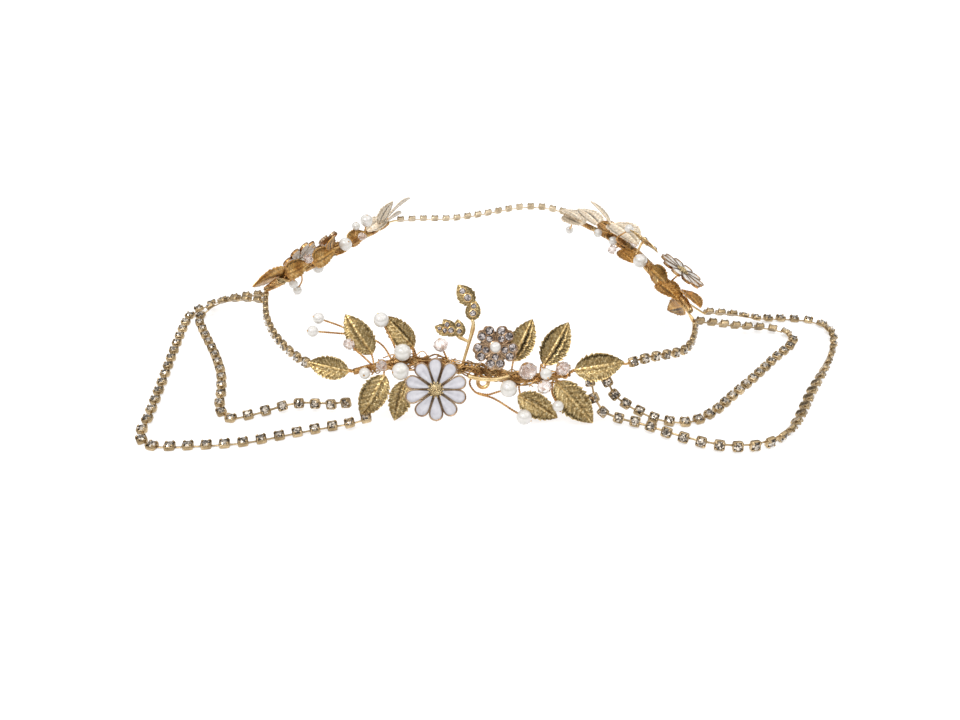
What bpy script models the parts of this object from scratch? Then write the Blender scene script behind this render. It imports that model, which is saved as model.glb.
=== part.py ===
"""Hair chain: a head band of rhinestone cup chain with three floral sprays and two double swags.

The chain lies on a flat surface at z = 0. Lengths are metres, +Z is up and the middle of the
object's footprint is the origin. The wearer's forehead side faces -Y.
"""

import math

import bpy
import numpy as np
from mathutils import Matrix, Vector

MM = 0.001

# Cup chain
CUP_WIDTH = 0.0037
CUP_HEIGHT = 0.0018
CROWN_RISE = 0.0005
TABLE_SHARE = 0.62
BAR_THICKNESS = 0.0005

# Clearance between separate pieces
GAP = 0.0003

# Wires and stems
WIRE_DIAMETER = 0.0007
STEM_DIAMETER = 0.0026
STEM_WIDTH = 0.0048
CARRIER_DIAMETER = 0.0009
TAIL_STRAIGHT = 0.0016

# Sprays
FRONT_REACH = 0.058
SIDE_REACH = 0.060
BAND_HEIGHT = 0.0185
SIDE_HEIGHT = 0.0162
FRONT_LEAN = 28.0
SIDE_LEAN = 42.0

# Leaves
LEAF_WIDTH_SHARE = 0.56
LEAF_THICKNESS = 0.0005
LEAF_FOLD = 0.14
LEAF_ARCH = 0.05
TOOTHED_LEAF = [(0.00, 0.10), (0.11, 0.62), (0.27, 0.94), (0.38, 0.88), (0.50, 1.00), (0.62, 0.82),
                (0.76, 0.66), (1.00, 0.05)]
SMALL_LEAF = [(0.00, 0.12), (0.24, 0.90), (0.62, 0.88), (1.00, 0.05)]

# Beads
PEARL_LARGE = 0.0063
PEARL_MIDDLE = 0.0056
PEARL_SMALL = 0.0042
CRYSTAL_LARGE = 0.0072
CRYSTAL_MIDDLE = 0.0057
CRYSTAL_SMALL = 0.0046
BEAD_SIDES = 10
CRYSTAL_SIDES = 8

# Flowers
DAISY_DIAMETER = 0.0224
DAISY_PETALS = 10
DAISY_THICKNESS = 0.0010
DAISY_HEART = 0.0046
FLOWER_DIAMETER = 0.0162
FLOWER_PETALS = 5
FLOWER_THICKNESS = 0.0009
FLOWER_STONE = 0.0026
FLOWER_PEARL = 0.0040
SPRIG_STONE = 0.0023
SPRIG_THICKNESS = 0.0009
LOBE_WIDTH_SHARE = 0.72
RING_OUTER = 0.0052
RING_WIRE = 0.0011

# Colours: base colour, roughness, metallic
GOLD = ((0.72, 0.52, 0.26), 0.28, 1.0)
PALE_GOLD = ((0.78, 0.66, 0.40), 0.26, 1.0)
COPPER_GOLD = ((0.66, 0.40, 0.18), 0.32, 1.0)
PEARL = ((0.90, 0.88, 0.82), 0.22, 0.0)
ENAMEL = ((0.86, 0.86, 0.90), 0.18, 0.0)
CRYSTAL = ((0.88, 0.84, 0.84), 0.05, 0.0)
PAVE = ((0.60, 0.57, 0.55), 0.15, 0.6)

# Chain routes: x, y and lift above the resting height in millimetres, then the stones' turn
# in degrees, 0 for stones up and 90 for stones facing out of the ring.
FOOTPRINT_MIDDLE = (0.7, -2.1)
CUPS = {
    "band_back": 16,
    "band_left": 12,
    "band_right": 10,
    "swag_left_outer": 35,
    "swag_left_inner": 27,
    "swag_right_outer": 39,
    "swag_right_inner": 30,
}
ROUTES = {
    "band_back": [
        (34.5, 89.0, 14.6, 60), (24.0, 94.0, 15.2, 60), (12.0, 95.0, 14.8, 60), (0.0, 91.5, 14.0, 55),
        (-13.0, 86.0, 13.6, 55), (-26.0, 81.5, 13.6, 50), (-40.0, 79.8, 14.2, 45), (-52.0, 77.5, 14.6, 40),
    ],
    "band_left": [
        (-102.2, -11.2, 13.6, 80), (-100.4, -19.6, 13.4, 80), (-97.4, -30.5, 13.8, 80),
        (-92.3, -42.8, 14.2, 84), (-86.3, -53.4, 14.8, 88), (-79.6, -62.7, 15.2, 90),
        (-74.2, -68.6, 15.4, 80),
    ],
    "band_right": [
        (46.2, -69.2, 15.9, 60), (53.4, -64.1, 14.9, 80), (61.2, -58.6, 13.1, 90), (69.0, -51.6, 10.6, 90),
        (74.3, -42.8, 9.0, 90), (77.4, -34.8, 8.8, 90), (79.0, -29.0, 9.6, 80),
    ],
    "swag_left_outer": [
        (-110.4, 2.4, 7.7, 55), (-119.0, 5.0, 5.5, 50), (-130.0, 7.6, 2.3, 30), (-137.5, 6.0, 0.8, 10),
        (-141.8, 0.0, 0.0, 0), (-141.4, -12.0, 0.0, 0), (-138.6, -34.0, 0.0, 5), (-135.2, -58.0, 0.0, 10),
        (-132.4, -80.0, 0.0, 10), (-131.4, -91.0, 0.0, 5), (-126.4, -97.8, 0.0, 0), (-112.0, -98.0, 0.0, 0),
        (-93.6, -96.0, 0.0, 0), (-75.5, -90.4, 0.0, 10), (-64.5, -87.4, 0.2, 15), (-57.6, -86.4, 1.0, 10),
        (-51.2, -85.4, 2.6, 5),
    ],
    "swag_left_inner": [
        (-109.2, -3.6, 7.9, 50), (-118.0, -0.4, 6.9, 45), (-127.9, 2.2, 4.6, 30), (-134.6, 1.4, 1.6, 10),
        (-136.6, -4.4, 0.0, 0), (-130.2, -18.0, 0.0, 0), (-121.4, -34.2, 0.0, 5), (-114.2, -50.0, 0.0, 5),
        (-110.4, -62.7, 0.0, 10), (-107.6, -75.0, 0.0, 5), (-102.6, -81.4, 0.0, 0), (-93.0, -78.8, 0.0, 20),
        (-79.5, -73.6, 0.4, 70), (-66.2, -75.0, 1.0, 80), (-59.6, -76.6, 2.8, 80),
    ],
    "swag_right_outer": [
        (30.9, -74.4, 10.6, 70), (32.2, -77.8, 5.4, 60), (36.2, -81.6, 1.2, 50), (48.0, -85.6, 0.0, 40),
        (58.8, -92.6, 0.0, 70), (72.8, -98.6, 0.0, 75), (86.0, -98.8, 0.0, 85), (97.0, -93.4, 0.0, 110),
        (106.0, -83.0, 0.0, 140), (117.5, -64.6, 0.0, 150), (131.0, -43.6, 0.0, 110), (139.8, -27.0, 0.0, 60),
        (143.0, -15.0, 0.0, 25), (139.6, -6.4, 0.0, 5), (127.0, -4.0, 0.2, 0), (114.6, -5.7, 1.2, 5),
        (101.6, -8.4, 3.8, 40), (90.4, -11.6, 6.2, 50),
    ],
    "swag_right_inner": [
        (36.9, -74.4, 10.8, 70), (39.0, -76.0, 6.6, 50), (43.6, -77.4, 3.2, 30), (56.0, -83.2, 0.0, 20),
        (67.0, -83.8, 0.0, 10), (77.0, -77.4, 0.0, 5), (87.5, -66.0, 0.0, 0), (99.5, -53.0, 0.0, 0),
        (112.0, -38.6, 0.0, 0), (122.6, -27.0, 0.0, 10), (124.0, -19.6, 0.0, 30), (116.5, -15.0, 0.0, 50),
        (101.8, -17.0, 2.2, 60), (91.2, -18.8, 4.6, 60), (84.6, -19.6, 5.8, 60),
    ],
}

# Front spray. Places are shares of FRONT_REACH: along the stem, up, and out from the stem.
# A stem's points end with its width in metres, as the bundle of wires is oval.
FRONT_STEM = [
    (-0.70, -0.03, 0, STEM_DIAMETER),
    (-0.50, 0.02, 0, STEM_DIAMETER),
    (-0.28, 0.04, 0, STEM_DIAMETER),
    (-0.10, 0.01, 0, STEM_DIAMETER),
    (0.10, -0.02, 0, STEM_DIAMETER),
    (0.28, -0.06, 0, STEM_DIAMETER),
    (0.47, -0.07, 0, STEM_DIAMETER),
    (0.66, -0.04, 0, STEM_DIAMETER),
]
# Leaves: base along, up, out, then tip along, up, out, then the face's turn upwards in degrees
FRONT_LEAVES = [
    (-0.585, 0.080, -0.030, -0.755, 0.330, -0.035, 0),
    (-0.325, 0.120, -0.040, -0.505, 0.320, -0.040, 0),
    (-0.730, -0.030, 0.000, -0.985, 0.030, 0.010, 0),
    (-0.500, -0.050, 0.020, -0.655, -0.315, 0.005, 0),
    (-0.370, -0.085, 0.000, -0.445, -0.338, 0.000, 0),
    (0.300, 0.035, -0.035, 0.427, 0.300, -0.045, 0),
    (0.500, 0.010, -0.035, 0.655, 0.280, -0.045, 0),
    (0.690, -0.022, 0.000, 1.000, 0.032, 0.010, 0),
    (0.335, -0.180, -0.010, 0.585, -0.322, -0.010, 0),
    (0.570, -0.095, 0.005, 0.805, -0.352, 0.010, 0),
]
# Beads: along, up, out, diameter, and the points of the wire that carries the bead
FRONT_PEARLS = [
    (-0.915, 0.305, 0.010, PEARL_SMALL, [(-0.45, 0.03, 0), (-0.55, 0.15, -0.09), (-0.78, 0.25, -0.08)]),
    (-0.945, 0.225, 0.045, PEARL_SMALL, [(-0.67, 0.20, -0.085), (-0.80, 0.21, -0.06)]),
    (-0.520, 0.295, 0.040, PEARL_MIDDLE, [(-0.41, 0.03, 0), (-0.455, 0.16, -0.01)]),
    (-0.385, 0.095, 0.070, PEARL_LARGE, [(-0.30, 0.04, 0), (-0.32, 0.12, 0.04)]),
    (-0.395, -0.020, 0.105, PEARL_LARGE, [(-0.31, 0.04, 0), (-0.30, -0.01, 0.04)]),
    (-0.620, -0.035, 0.075, PEARL_SMALL, [(-0.62, -0.01, 0)]),
    (0.500, -0.035, 0.120, PEARL_SMALL, [(0.47, -0.07, 0), (0.475, 0.02, 0.06)]),
    (0.272, -0.130, 0.080, PEARL_LARGE, [(0.07, -0.16, 0.02), (0.14, -0.172, 0.03), (0.20, -0.155, 0.04)]),
    (0.370, -0.308, 0.065, PEARL_MIDDLE, [(0.10, -0.02, 0), (0.03, -0.09, 0), (0.07, -0.16, 0.02),
                                          (0.18, -0.195, 0.035), (0.30, -0.268, 0.055)]),
    (0.580, -0.240, 0.075, PEARL_SMALL, [(0.56, -0.06, 0), (0.545, -0.15, 0.03)]),
]
FRONT_CRYSTALS = [
    (-0.720, 0.145, 0.050, CRYSTAL_SMALL, [(-0.57, 0.00, 0), (-0.64, 0.07, 0.02)]),
    (-0.515, 0.012, 0.080, CRYSTAL_SMALL, [(-0.50, 0.02, 0)]),
    (-0.150, 0.140, 0.050, CRYSTAL_MIDDLE, [(-0.09, 0.01, 0), (-0.11, 0.05, 0.02)]),
    (0.390, -0.018, 0.090, CRYSTAL_LARGE, [(0.34, -0.06, 0)]),
    (0.495, -0.120, 0.070, CRYSTAL_MIDDLE, [(0.44, -0.07, 0)]),
    (0.607, -0.005, 0.072, CRYSTAL_MIDDLE, [(0.60, -0.05, 0)]),
]
# Bends of the tails that carry the band's ends behind the end leaves
FRONT_TAILS = [[(-0.74, -0.02, -0.05), (-0.92, 0.01, -0.05)], [(0.70, -0.02, -0.05), (0.92, 0.02, -0.05)]]
# Flowers: along, up, out, then the face's turn upwards and its swing along the spray in degrees
FRONT_DAISY = (-0.178, -0.133, 0.085, 0, 0)
FRONT_FLOWER = (0.190, 0.128, 0.060, 0, 0)
FRONT_RING = (0.114, -0.097, 0.000)
# Sprig: points of the stalk and of its twig, then lobes as base along, up, then tip along, up
FRONT_SPRIG_STALK = [(-0.012, 0.024, 0), (0.050, 0.240, 0), (0.046, 0.300, 0)]
FRONT_SPRIG_TWIG = [(0.030, 0.155, 0), (-0.020, 0.180, 0), (-0.050, 0.200, 0)]
FRONT_SPRIG_LOBES = [
    (0.046, 0.290, 0.058, 0.425), (0.050, 0.390, -0.045, 0.515),
    (-0.030, 0.185, -0.045, 0.300), (-0.060, 0.195, -0.135, 0.300), (-0.090, 0.215, -0.190, 0.255),
]

# Side sprays. Places are shares of SIDE_REACH, as along the stem, up, and out from the stem.
LEFT_MIDDLE = (-81.2, 33.5)
LEFT_OUTWARD = (-0.860, 0.510)
LEFT_STEM = [
    (0.76, 0.00, 0.000, STEM_DIAMETER),
    (0.56, 0.00, 0.004, STEM_WIDTH),
    (0.34, 0.00, 0.008, STEM_WIDTH),
    (-0.12, 0.00, 0.006, STEM_WIDTH),
    (-0.42, 0.00, 0.016, STEM_WIDTH),
    (-0.64, 0.00, 0.016, STEM_WIDTH),
    (-0.76, 0.00, 0.010, STEM_DIAMETER),
]
LEFT_LEAVES = [
    (0.500, 0.030, 0.020, 0.840, 0.010, 0.060, -8),
    (-0.590, 0.050, 0.010, -0.690, 0.260, 0.080, -50),
    (-0.720, 0.050, 0.030, -1.030, 0.150, 0.070, 6),
    (-0.700, -0.020, 0.010, -1.010, -0.020, 0.035, 6),
    (0.420, -0.070, 0.010, 0.560, -0.220, 0.050, -20),
    (0.000, -0.070, 0.000, -0.120, -0.250, 0.030, -20),
    (0.060, 0.080, 0.010, 0.140, 0.270, 0.040, -30),
    (-0.240, -0.060, 0.000, -0.360, -0.240, 0.050, -20),
    (-0.560, -0.060, 0.010, -0.700, -0.230, 0.050, -20),
    (0.560, 0.050, 0.020, 0.310, 0.060, 0.005, -62),
    (0.290, 0.070, -0.010, 0.020, 0.080, -0.005, -62),
    (0.000, -0.020, 0.000, -0.260, -0.030, 0.020, 62),
    (-0.180, 0.030, 0.010, -0.420, 0.040, 0.020, -62),
    (-0.450, 0.030, 0.020, -0.740, 0.040, 0.045, 62),
]
LEFT_PEARLS = [
    (-0.083, 0.100, -0.010, PEARL_LARGE, [(-0.09, 0.01, 0.00)]),
    (0.440, -0.090, -0.040, PEARL_SMALL, [(0.43, 0.00, -0.02)]),
    (0.390, -0.160, -0.080, PEARL_SMALL, [(0.37, -0.01, -0.02), (0.36, -0.08, -0.05)]),
    (0.136, -0.085, -0.019, PEARL_MIDDLE, [(0.14, 0.00, -0.01)]),
    (-0.313, 0.100, 0.082, PEARL_SMALL, [(-0.31, 0.01, 0.03)]),
    (-0.435, 0.117, 0.078, PEARL_LARGE, [(-0.44, 0.01, 0.03)]),
]
LEFT_CRYSTALS = [
    (0.345, 0.117, 0.019, CRYSTAL_SMALL, [(0.345, 0.01, 0.01)]),
    (-0.322, 0.070, -0.010, CRYSTAL_SMALL, [(-0.32, 0.00, 0.00)]),
]
LEFT_DAISY = (0.307, -0.017, 0.080, -9, 0)
LEFT_FLOWER = (-0.003, 0.000, 0.086, -9, 0)

RIGHT_MIDDLE = (55.0, 31.0)
RIGHT_OUTWARD = (0.930, 0.360)
RIGHT_STEM = [
    (-1.04, 0.01, 0.006, STEM_DIAMETER),
    (-0.86, 0.00, 0.038, STEM_WIDTH),
    (-0.56, 0.00, 0.064, STEM_WIDTH),
    (-0.28, 0.00, 0.096, STEM_WIDTH),
    (-0.02, 0.00, 0.107, STEM_WIDTH),
    (0.26, 0.00, 0.098, STEM_WIDTH),
    (0.52, 0.00, 0.060, STEM_DIAMETER),
    (0.92, 0.00, 0.015, STEM_DIAMETER),
]
RIGHT_LEAVES = [
    (0.620, 0.020, 0.065, 0.980, 0.030, 0.030, 40),
    (0.360, 0.060, 0.105, 0.700, 0.100, 0.110, 45),
    (0.230, 0.090, 0.165, 0.390, 0.280, 0.185, 25),
    (0.270, 0.050, 0.180, -0.166, 0.050, 0.161, 50),
    (-0.830, 0.010, 0.090, -1.080, 0.000, 0.070, 32),
    (-0.880, -0.060, 0.010, -0.660, -0.190, -0.060, -20),
    (0.300, -0.050, 0.110, 0.440, -0.250, 0.100, 20),
    (0.020, -0.060, 0.110, 0.130, -0.260, 0.120, 20),
    (-0.300, -0.060, 0.080, -0.220, -0.260, 0.110, -20),
    (-0.500, -0.060, 0.050, -0.640, -0.240, 0.050, -20),
    (0.560, 0.040, 0.040, 0.900, 0.030, -0.005, 62),
    (0.170, 0.040, 0.130, 0.420, 0.050, 0.130, 62),
    (-0.060, 0.060, 0.045, -0.280, 0.050, 0.030, 62),
    (-0.440, 0.040, 0.075, -0.700, 0.030, 0.050, -62),
    (-0.620, 0.030, 0.030, -0.900, 0.030, 0.020, 62),
]
RIGHT_PEARLS = [
    (0.940, -0.150, -0.045, PEARL_SMALL, [(0.84, 0.00, 0.02), (0.88, -0.09, -0.01)]),
    (-0.060, 0.140, 0.205, PEARL_SMALL, [(-0.04, 0.00, 0.10), (-0.05, 0.150, 0.080)]),
    (0.065, 0.078, 0.067, PEARL_SMALL, [(0.065, 0.00, 0.09)]),
    (-0.370, 0.092, 0.066, PEARL_LARGE, [(-0.37, 0.00, 0.07)]),
    (0.288, 0.074, 0.047, PEARL_SMALL, [(0.288, 0.00, 0.08)]),
]
RIGHT_CRYSTALS = [
    (0.036, 0.044, 0.014, CRYSTAL_SMALL, [(0.04, 0.00, 0.085)]),
    (0.060, -0.080, 0.185, CRYSTAL_MIDDLE, [(0.06, 0.00, 0.10)]),
]
# Bends of the tails that carry the band's and the swags' ends
RIGHT_TAILS = [[(-0.970, -0.040, 0.000)], [], [], []]
LEFT_TAILS = [[], [], [], []]
RIGHT_DAISY = (-0.680, 0.000, 0.190, 18, -12)
RIGHT_SPRIG_DEPTH = 0.190
RIGHT_SPRIG_STALK = [
    (-0.20, 0.031, 0.116), (-0.22, 0.08, RIGHT_SPRIG_DEPTH), (-0.30, 0.10, RIGHT_SPRIG_DEPTH),
]
RIGHT_SPRIG_LOBES = [
    (-0.23, 0.07, -0.14, 0.19), (-0.29, 0.09, -0.36, 0.22), (-0.29, 0.10, -0.44, 0.09),
]


# Scene and materials

def clear_scene():
    for old in list(bpy.data.objects):
        bpy.data.objects.remove(old, do_unlink=True)


def make_material(name, finish):
    colour, roughness, metallic = finish
    material = bpy.data.materials.new(name)
    material.use_nodes = True
    shader = material.node_tree.nodes["Principled BSDF"]
    shader.inputs["Base Color"].default_value = (*colour, 1.0)
    shader.inputs["Roughness"].default_value = roughness
    shader.inputs["Metallic"].default_value = metallic
    material.diffuse_color = (*colour, 1.0)
    return material


def add_object(name, solid, finish, smooth_angle=40.0):
    """One named object from vertices and faces, with its own material."""
    vertices, faces = solid
    mesh = bpy.data.meshes.new(name)
    mesh.from_pydata([tuple(v) for v in vertices], [], faces)
    mesh.validate()
    mesh.materials.append(make_material(name, finish))
    mesh.shade_smooth()
    mesh.set_sharp_from_angle(angle=math.radians(smooth_angle))
    obj = bpy.data.objects.new(name, mesh)
    bpy.context.scene.collection.objects.link(obj)
    return obj


def moved(solid, matrix):
    vertices, faces = solid
    return [matrix @ Vector(v) for v in vertices], faces


def fused(solids):
    """The union of closed solids that overlap, as one closed solid."""
    base, *others = [bare_object(s) for s in solids]
    cutters = bpy.data.collections.new("cutters")
    bpy.context.scene.collection.children.link(cutters)
    for other in others:
        bpy.context.scene.collection.objects.unlink(other)
        cutters.objects.link(other)
        other.hide_render = True
        other.display_type = "WIRE"
    union = base.modifiers.new("union", "BOOLEAN")
    union.operation = "UNION"
    union.operand_type = "COLLECTION"
    union.collection = cutters
    union.solver = "EXACT"
    graph = bpy.context.evaluated_depsgraph_get()
    mesh = base.evaluated_get(graph).to_mesh()
    vertices = [v.co.copy() for v in mesh.vertices]
    faces = [tuple(p.vertices) for p in mesh.polygons]
    base.evaluated_get(graph).to_mesh_clear()
    for scrap in [base, *others]:
        bpy.data.objects.remove(scrap, do_unlink=True)
    bpy.data.collections.remove(cutters)
    return vertices, faces


def bare_object(solid):
    vertices, faces = solid
    mesh = bpy.data.meshes.new("scrap")
    mesh.from_pydata([tuple(v) for v in vertices], [], faces)
    obj = bpy.data.objects.new("scrap", mesh)
    bpy.context.scene.collection.objects.link(obj)
    return obj


# Curves and tubes

def smooth_route(points, steps=14):
    """A Catmull-Rom curve through the points, as an array with the points' columns."""
    points = np.array(points, float)
    before = 2 * points[0] - points[1]
    after = 2 * points[-1] - points[-2]
    knots = np.vstack([before, points, after])
    samples = []
    for p0, p1, p2, p3 in zip(knots, knots[1:], knots[2:], knots[3:]):
        for t in np.arange(steps) / steps:
            samples.append(0.5 * (2 * p1 + (p2 - p0) * t + (2 * p0 - 5 * p1 + 4 * p2 - p3) * t ** 2
                                  + (3 * p1 - 3 * p2 + p3 - p0) * t ** 3))
    samples.append(points[-1])
    return np.array(samples)


def evenly_spaced(samples, count):
    lengths = np.linalg.norm(np.diff(samples[:, :3], axis=0), axis=1)
    along = np.concatenate([[0.0], np.cumsum(lengths)])
    stations = np.linspace(0.0, along[-1], count)
    columns = [np.interp(stations, along, samples[:, i]) for i in range(samples.shape[1])]
    return np.stack(columns, axis=1)


def tube(points, diameter, sides=5, across=None, widths=None):
    """A wire with flat ends along the points, oval where its widths across are given."""
    points = [Vector(p) for p in points]
    radius = diameter / 2
    vertices = []
    side = across
    for i, point in enumerate(points):
        ahead = points[min(i + 1, len(points) - 1)]
        behind = points[max(i - 1, 0)]
        tangent = (ahead - behind).normalized()
        if side is None:
            side = tangent.orthogonal().normalized()
        side = (side - tangent * side.dot(tangent)).normalized()
        other = tangent.cross(side)
        half_width = widths[i] / 2 if widths else radius
        for k in range(sides):
            angle = 2 * math.pi * k / sides
            vertices.append(point + half_width * math.cos(angle) * side + radius * math.sin(angle) * other)
    faces = [tuple(reversed(range(sides)))]
    for i in range(len(points) - 1):
        low, high = i * sides, (i + 1) * sides
        for k in range(sides):
            n = (k + 1) % sides
            faces.append((low + k, low + n, high + n, high + k))
    last = (len(points) - 1) * sides
    faces.append(tuple(last + k for k in range(sides)))
    return vertices, faces


# Cup chain

def cup_section():
    """Corners of a cup and its stone, across the chain: sideways, and out along the stone."""
    half = CUP_WIDTH / 2
    base = -BAR_THICKNESS / 2
    top = base + CUP_HEIGHT
    table = top + CROWN_RISE
    return [(half, base), (-half, base), (half, top), (-half, top),
            (half * TABLE_SHARE, table), (-half * TABLE_SHARE, table)]


def resting_height(turn):
    """How far the chain's line runs above a surface that a cup turned by this angle touches."""
    return -min(a * math.sin(turn) + b * math.cos(turn) for a, b in cup_section())


def chain_stations(route, count):
    """Evenly spaced cups along a route: centre, forward, sideways and out along the stone."""
    rows = []
    for x, y, lift, turn in route:
        turn = math.radians(turn)
        x, y = x - FOOTPRINT_MIDDLE[0], y - FOOTPRINT_MIDDLE[1]
        rows.append((x * MM, y * MM, lift * MM + resting_height(turn), turn))
    samples = smooth_route(rows)
    for row in samples:
        row[2] = max(row[2], resting_height(row[3]))
    rows = evenly_spaced(samples, count)
    stations = []
    for i, (x, y, z, turn) in enumerate(rows):
        ahead = Vector(rows[min(i + 1, count - 1)][:3])
        behind = Vector(rows[max(i - 1, 0)][:3])
        forward = (ahead - behind).normalized()
        outer = forward.cross(Vector((0, 0, 1))).normalized()
        up = outer.cross(forward)
        out = math.cos(turn) * up + math.sin(turn) * outer
        stations.append((Vector((x, y, z)), forward, out.cross(forward), out))
    return stations


def chain_solid(stations):
    """Cups with cut stones, joined by flat bars, as one solid."""
    corner = CUP_WIDTH / 2 / math.cos(math.pi / 8)
    table = CUP_WIDTH / 2 * TABLE_SHARE / math.cos(math.pi / 4)
    low = -BAR_THICKNESS / 2
    bar_top = BAR_THICKNESS / 2
    girdle = low + CUP_HEIGHT
    crown = girdle + CROWN_RISE
    vertices = []
    faces = []
    for i, (centre, forward, sideways, out) in enumerate(stations):
        def at(radius, angle, height):
            return centre + radius * (math.cos(angle) * forward + math.sin(angle) * sideways) + height * out

        first = len(vertices)
        corners = [math.radians(22.5 + 45 * k) for k in range(8)]
        vertices += [at(corner, a, low) for a in corners]
        vertices += [at(corner, a, girdle) for a in corners]
        vertices += [at(table, math.radians(45 + 90 * k), crown) for k in range(4)]
        vertices += [at(corner, corners[k], bar_top) for k in (0, 3, 4, 7)]
        base = [first + k for k in range(8)]
        rim = [first + 8 + k for k in range(8)]
        top = [first + 16 + k for k in range(4)]
        bar = dict(zip((0, 3, 4, 7), range(first + 20, first + 24)))
        faces.append(tuple(reversed(base)))
        for k in range(8):
            n = (k + 1) % 8
            if k in (3, 7):
                faces.append((bar[k], bar[n], rim[n], rim[k]))
                continue
            wall = [base[k], base[n]]
            wall += [bar[n]] if n in bar else []
            wall += [rim[n], rim[k]]
            wall += [bar[k]] if k in bar else []
            faces.append(tuple(wall))
        for k in range(4):
            n = (k + 1) % 4
            faces.append((rim[2 * k], rim[2 * k + 1], top[k]))
            faces.append((rim[2 * k + 1], rim[(2 * k + 2) % 8], top[n], top[k]))
        faces.append(tuple(top))
        if i == 0:
            faces.append((base[3], base[4], bar[4], bar[3]))
        if i == len(stations) - 1:
            faces.append((base[7], base[0], bar[0], bar[7]))
            continue
        after = first + 24
        faces.append((base[7], base[0], after + 3, after + 4))
        faces.append((bar[7], after + 22, after + 21, bar[0]))
        faces.append((base[0], bar[0], after + 21, after + 3))
        faces.append((base[7], after + 4, after + 22, bar[7]))
    return vertices, faces


def chain_end(stations, last):
    """A chain's end: the middle of its last bar, and the direction away from the chain."""
    centre, forward, _, _ = stations[-1 if last else 0]
    away = forward if last else -forward
    return centre + away * CUP_WIDTH / 2, away


# Beads and stones

def pearl_solid(diameter, rings=4):
    radius = diameter / 2
    vertices = [Vector((0, 0, -radius))]
    for r in range(1, rings + 1):
        tilt = math.pi * r / (rings + 1)
        for k in range(BEAD_SIDES):
            angle = 2 * math.pi * k / BEAD_SIDES
            vertices.append(Vector((radius * math.sin(tilt) * math.cos(angle),
                                    radius * math.sin(tilt) * math.sin(angle),
                                    -radius * math.cos(tilt))))
    vertices.append(Vector((0, 0, radius)))
    return vertices, ring_faces(BEAD_SIDES, rings)


def ring_faces(sides, rings):
    """Faces of a shape made of a bottom point, rings and a top point."""
    top = 1 + rings * sides
    faces = []
    for k in range(sides):
        n = (k + 1) % sides
        faces.append((0, 1 + n, 1 + k))
        for r in range(rings - 1):
            low, high = 1 + r * sides, 1 + (r + 1) * sides
            faces.append((low + k, low + n, high + n, high + k))
        faces.append((top - sides + k, top - sides + n, top))
    return faces


def turned_stone(profile, sides):
    """A cut stone from its profile of radius and height, with a flat top and bottom."""
    vertices = []
    for level, (radius, height) in enumerate(profile):
        offset = math.pi / sides * (level % 2)
        for k in range(sides):
            angle = 2 * math.pi * k / sides + offset
            vertices.append(Vector((radius * math.cos(angle), radius * math.sin(angle), height)))
    faces = [tuple(reversed(range(sides)))]
    for level in range(len(profile) - 1):
        low, high = level * sides, (level + 1) * sides
        for k in range(sides):
            n = (k + 1) % sides
            if level % 2 == 0:
                faces.append((low + k, low + n, high + k))
                faces.append((low + n, high + n, high + k))
            else:
                faces.append((low + k, low + n, high + n))
                faces.append((low + k, high + n, high + k))
    last = (len(profile) - 1) * sides
    faces.append(tuple(last + k for k in range(sides)))
    return vertices, faces


def crystal_solid(diameter):
    """A faceted bead: two tables, and triangular facets to the girdle."""
    radius = diameter / 2
    return turned_stone([(radius * 0.45, -radius * 0.80), (radius, 0.0), (radius * 0.45, radius * 0.80)],
                        CRYSTAL_SIDES)


def set_stone(diameter, base, rise):
    """A round stone in its setting: eight crown facets and a table."""
    radius = diameter / 2
    sides = 8
    vertices = []
    for share, height in ((1.0, base), (TABLE_SHARE, rise)):
        for k in range(sides):
            angle = 2 * math.pi * k / sides
            x, y = radius * share * math.cos(angle), radius * share * math.sin(angle)
            vertices.append(Vector((x, y, height)))
    faces = [tuple(reversed(range(sides)))]
    for k in range(sides):
        n = (k + 1) % sides
        faces.append((k, n, sides + n, sides + k))
    faces.append(tuple(sides + k for k in range(sides)))
    return vertices, faces


# Leaves and flowers

def leaf_solid(length, rows):
    """A stamped leaf along +X, folded on its midrib towards +Z; rows are along and half width."""
    half = length * LEAF_WIDTH_SHARE / 2
    vertices = []
    for level in (0.0, -LEAF_THICKNESS):
        for along, share in rows:
            arch = -LEAF_ARCH * length * (2 * along - 1) ** 2
            fold = LEAF_FOLD * half * share
            vertices.append(Vector((along * length, -half * share, arch + fold + level)))
            vertices.append(Vector((along * length, 0.0, arch + level)))
            vertices.append(Vector((along * length, half * share, arch + fold + level)))
    under = 3 * len(rows)
    faces = []
    for r in range(len(rows) - 1):
        for c in range(2):
            a, b = 3 * r + c, 3 * (r + 1) + c
            faces.append((a, b, b + 1, a + 1))
            faces.append((under + a, under + a + 1, under + b + 1, under + b))
        right, left = 3 * r, 3 * r + 2
        faces.append((right, under + right, under + right + 3, right + 3))
        faces.append((left, left + 3, under + left + 3, under + left))
    tip = 3 * (len(rows) - 1)
    for c in range(2):
        faces.append((c, c + 1, under + c + 1, under + c))
        faces.append((tip + c + 1, tip + c, under + tip + c, under + tip + c + 1))
    return vertices, faces


def plate(outline, thickness):
    """A flat plate with this outline, between z = 0 and its thickness."""
    count = len(outline)
    vertices = [Vector((x, y, 0.0)) for x, y in outline] + [Vector((x, y, thickness)) for x, y in outline]
    faces = [tuple(reversed(range(count))), tuple(range(count, 2 * count))]
    for k in range(count):
        n = (k + 1) % count
        faces.append((k, n, count + n, count + k))
    return vertices, faces


def petal_outline(radius, notch, count, shape):
    """A round outline of petals: shape holds each petal's angles and radii as shares."""
    outline = []
    for i in range(count):
        middle = 2 * math.pi * i / count - math.pi / 2
        outline.append((notch, middle - math.pi / count))
        outline += [(radius * share, middle + turn * math.pi / count) for turn, share in shape]
    return [(r * math.cos(a), r * math.sin(a)) for r, a in outline]


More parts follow.
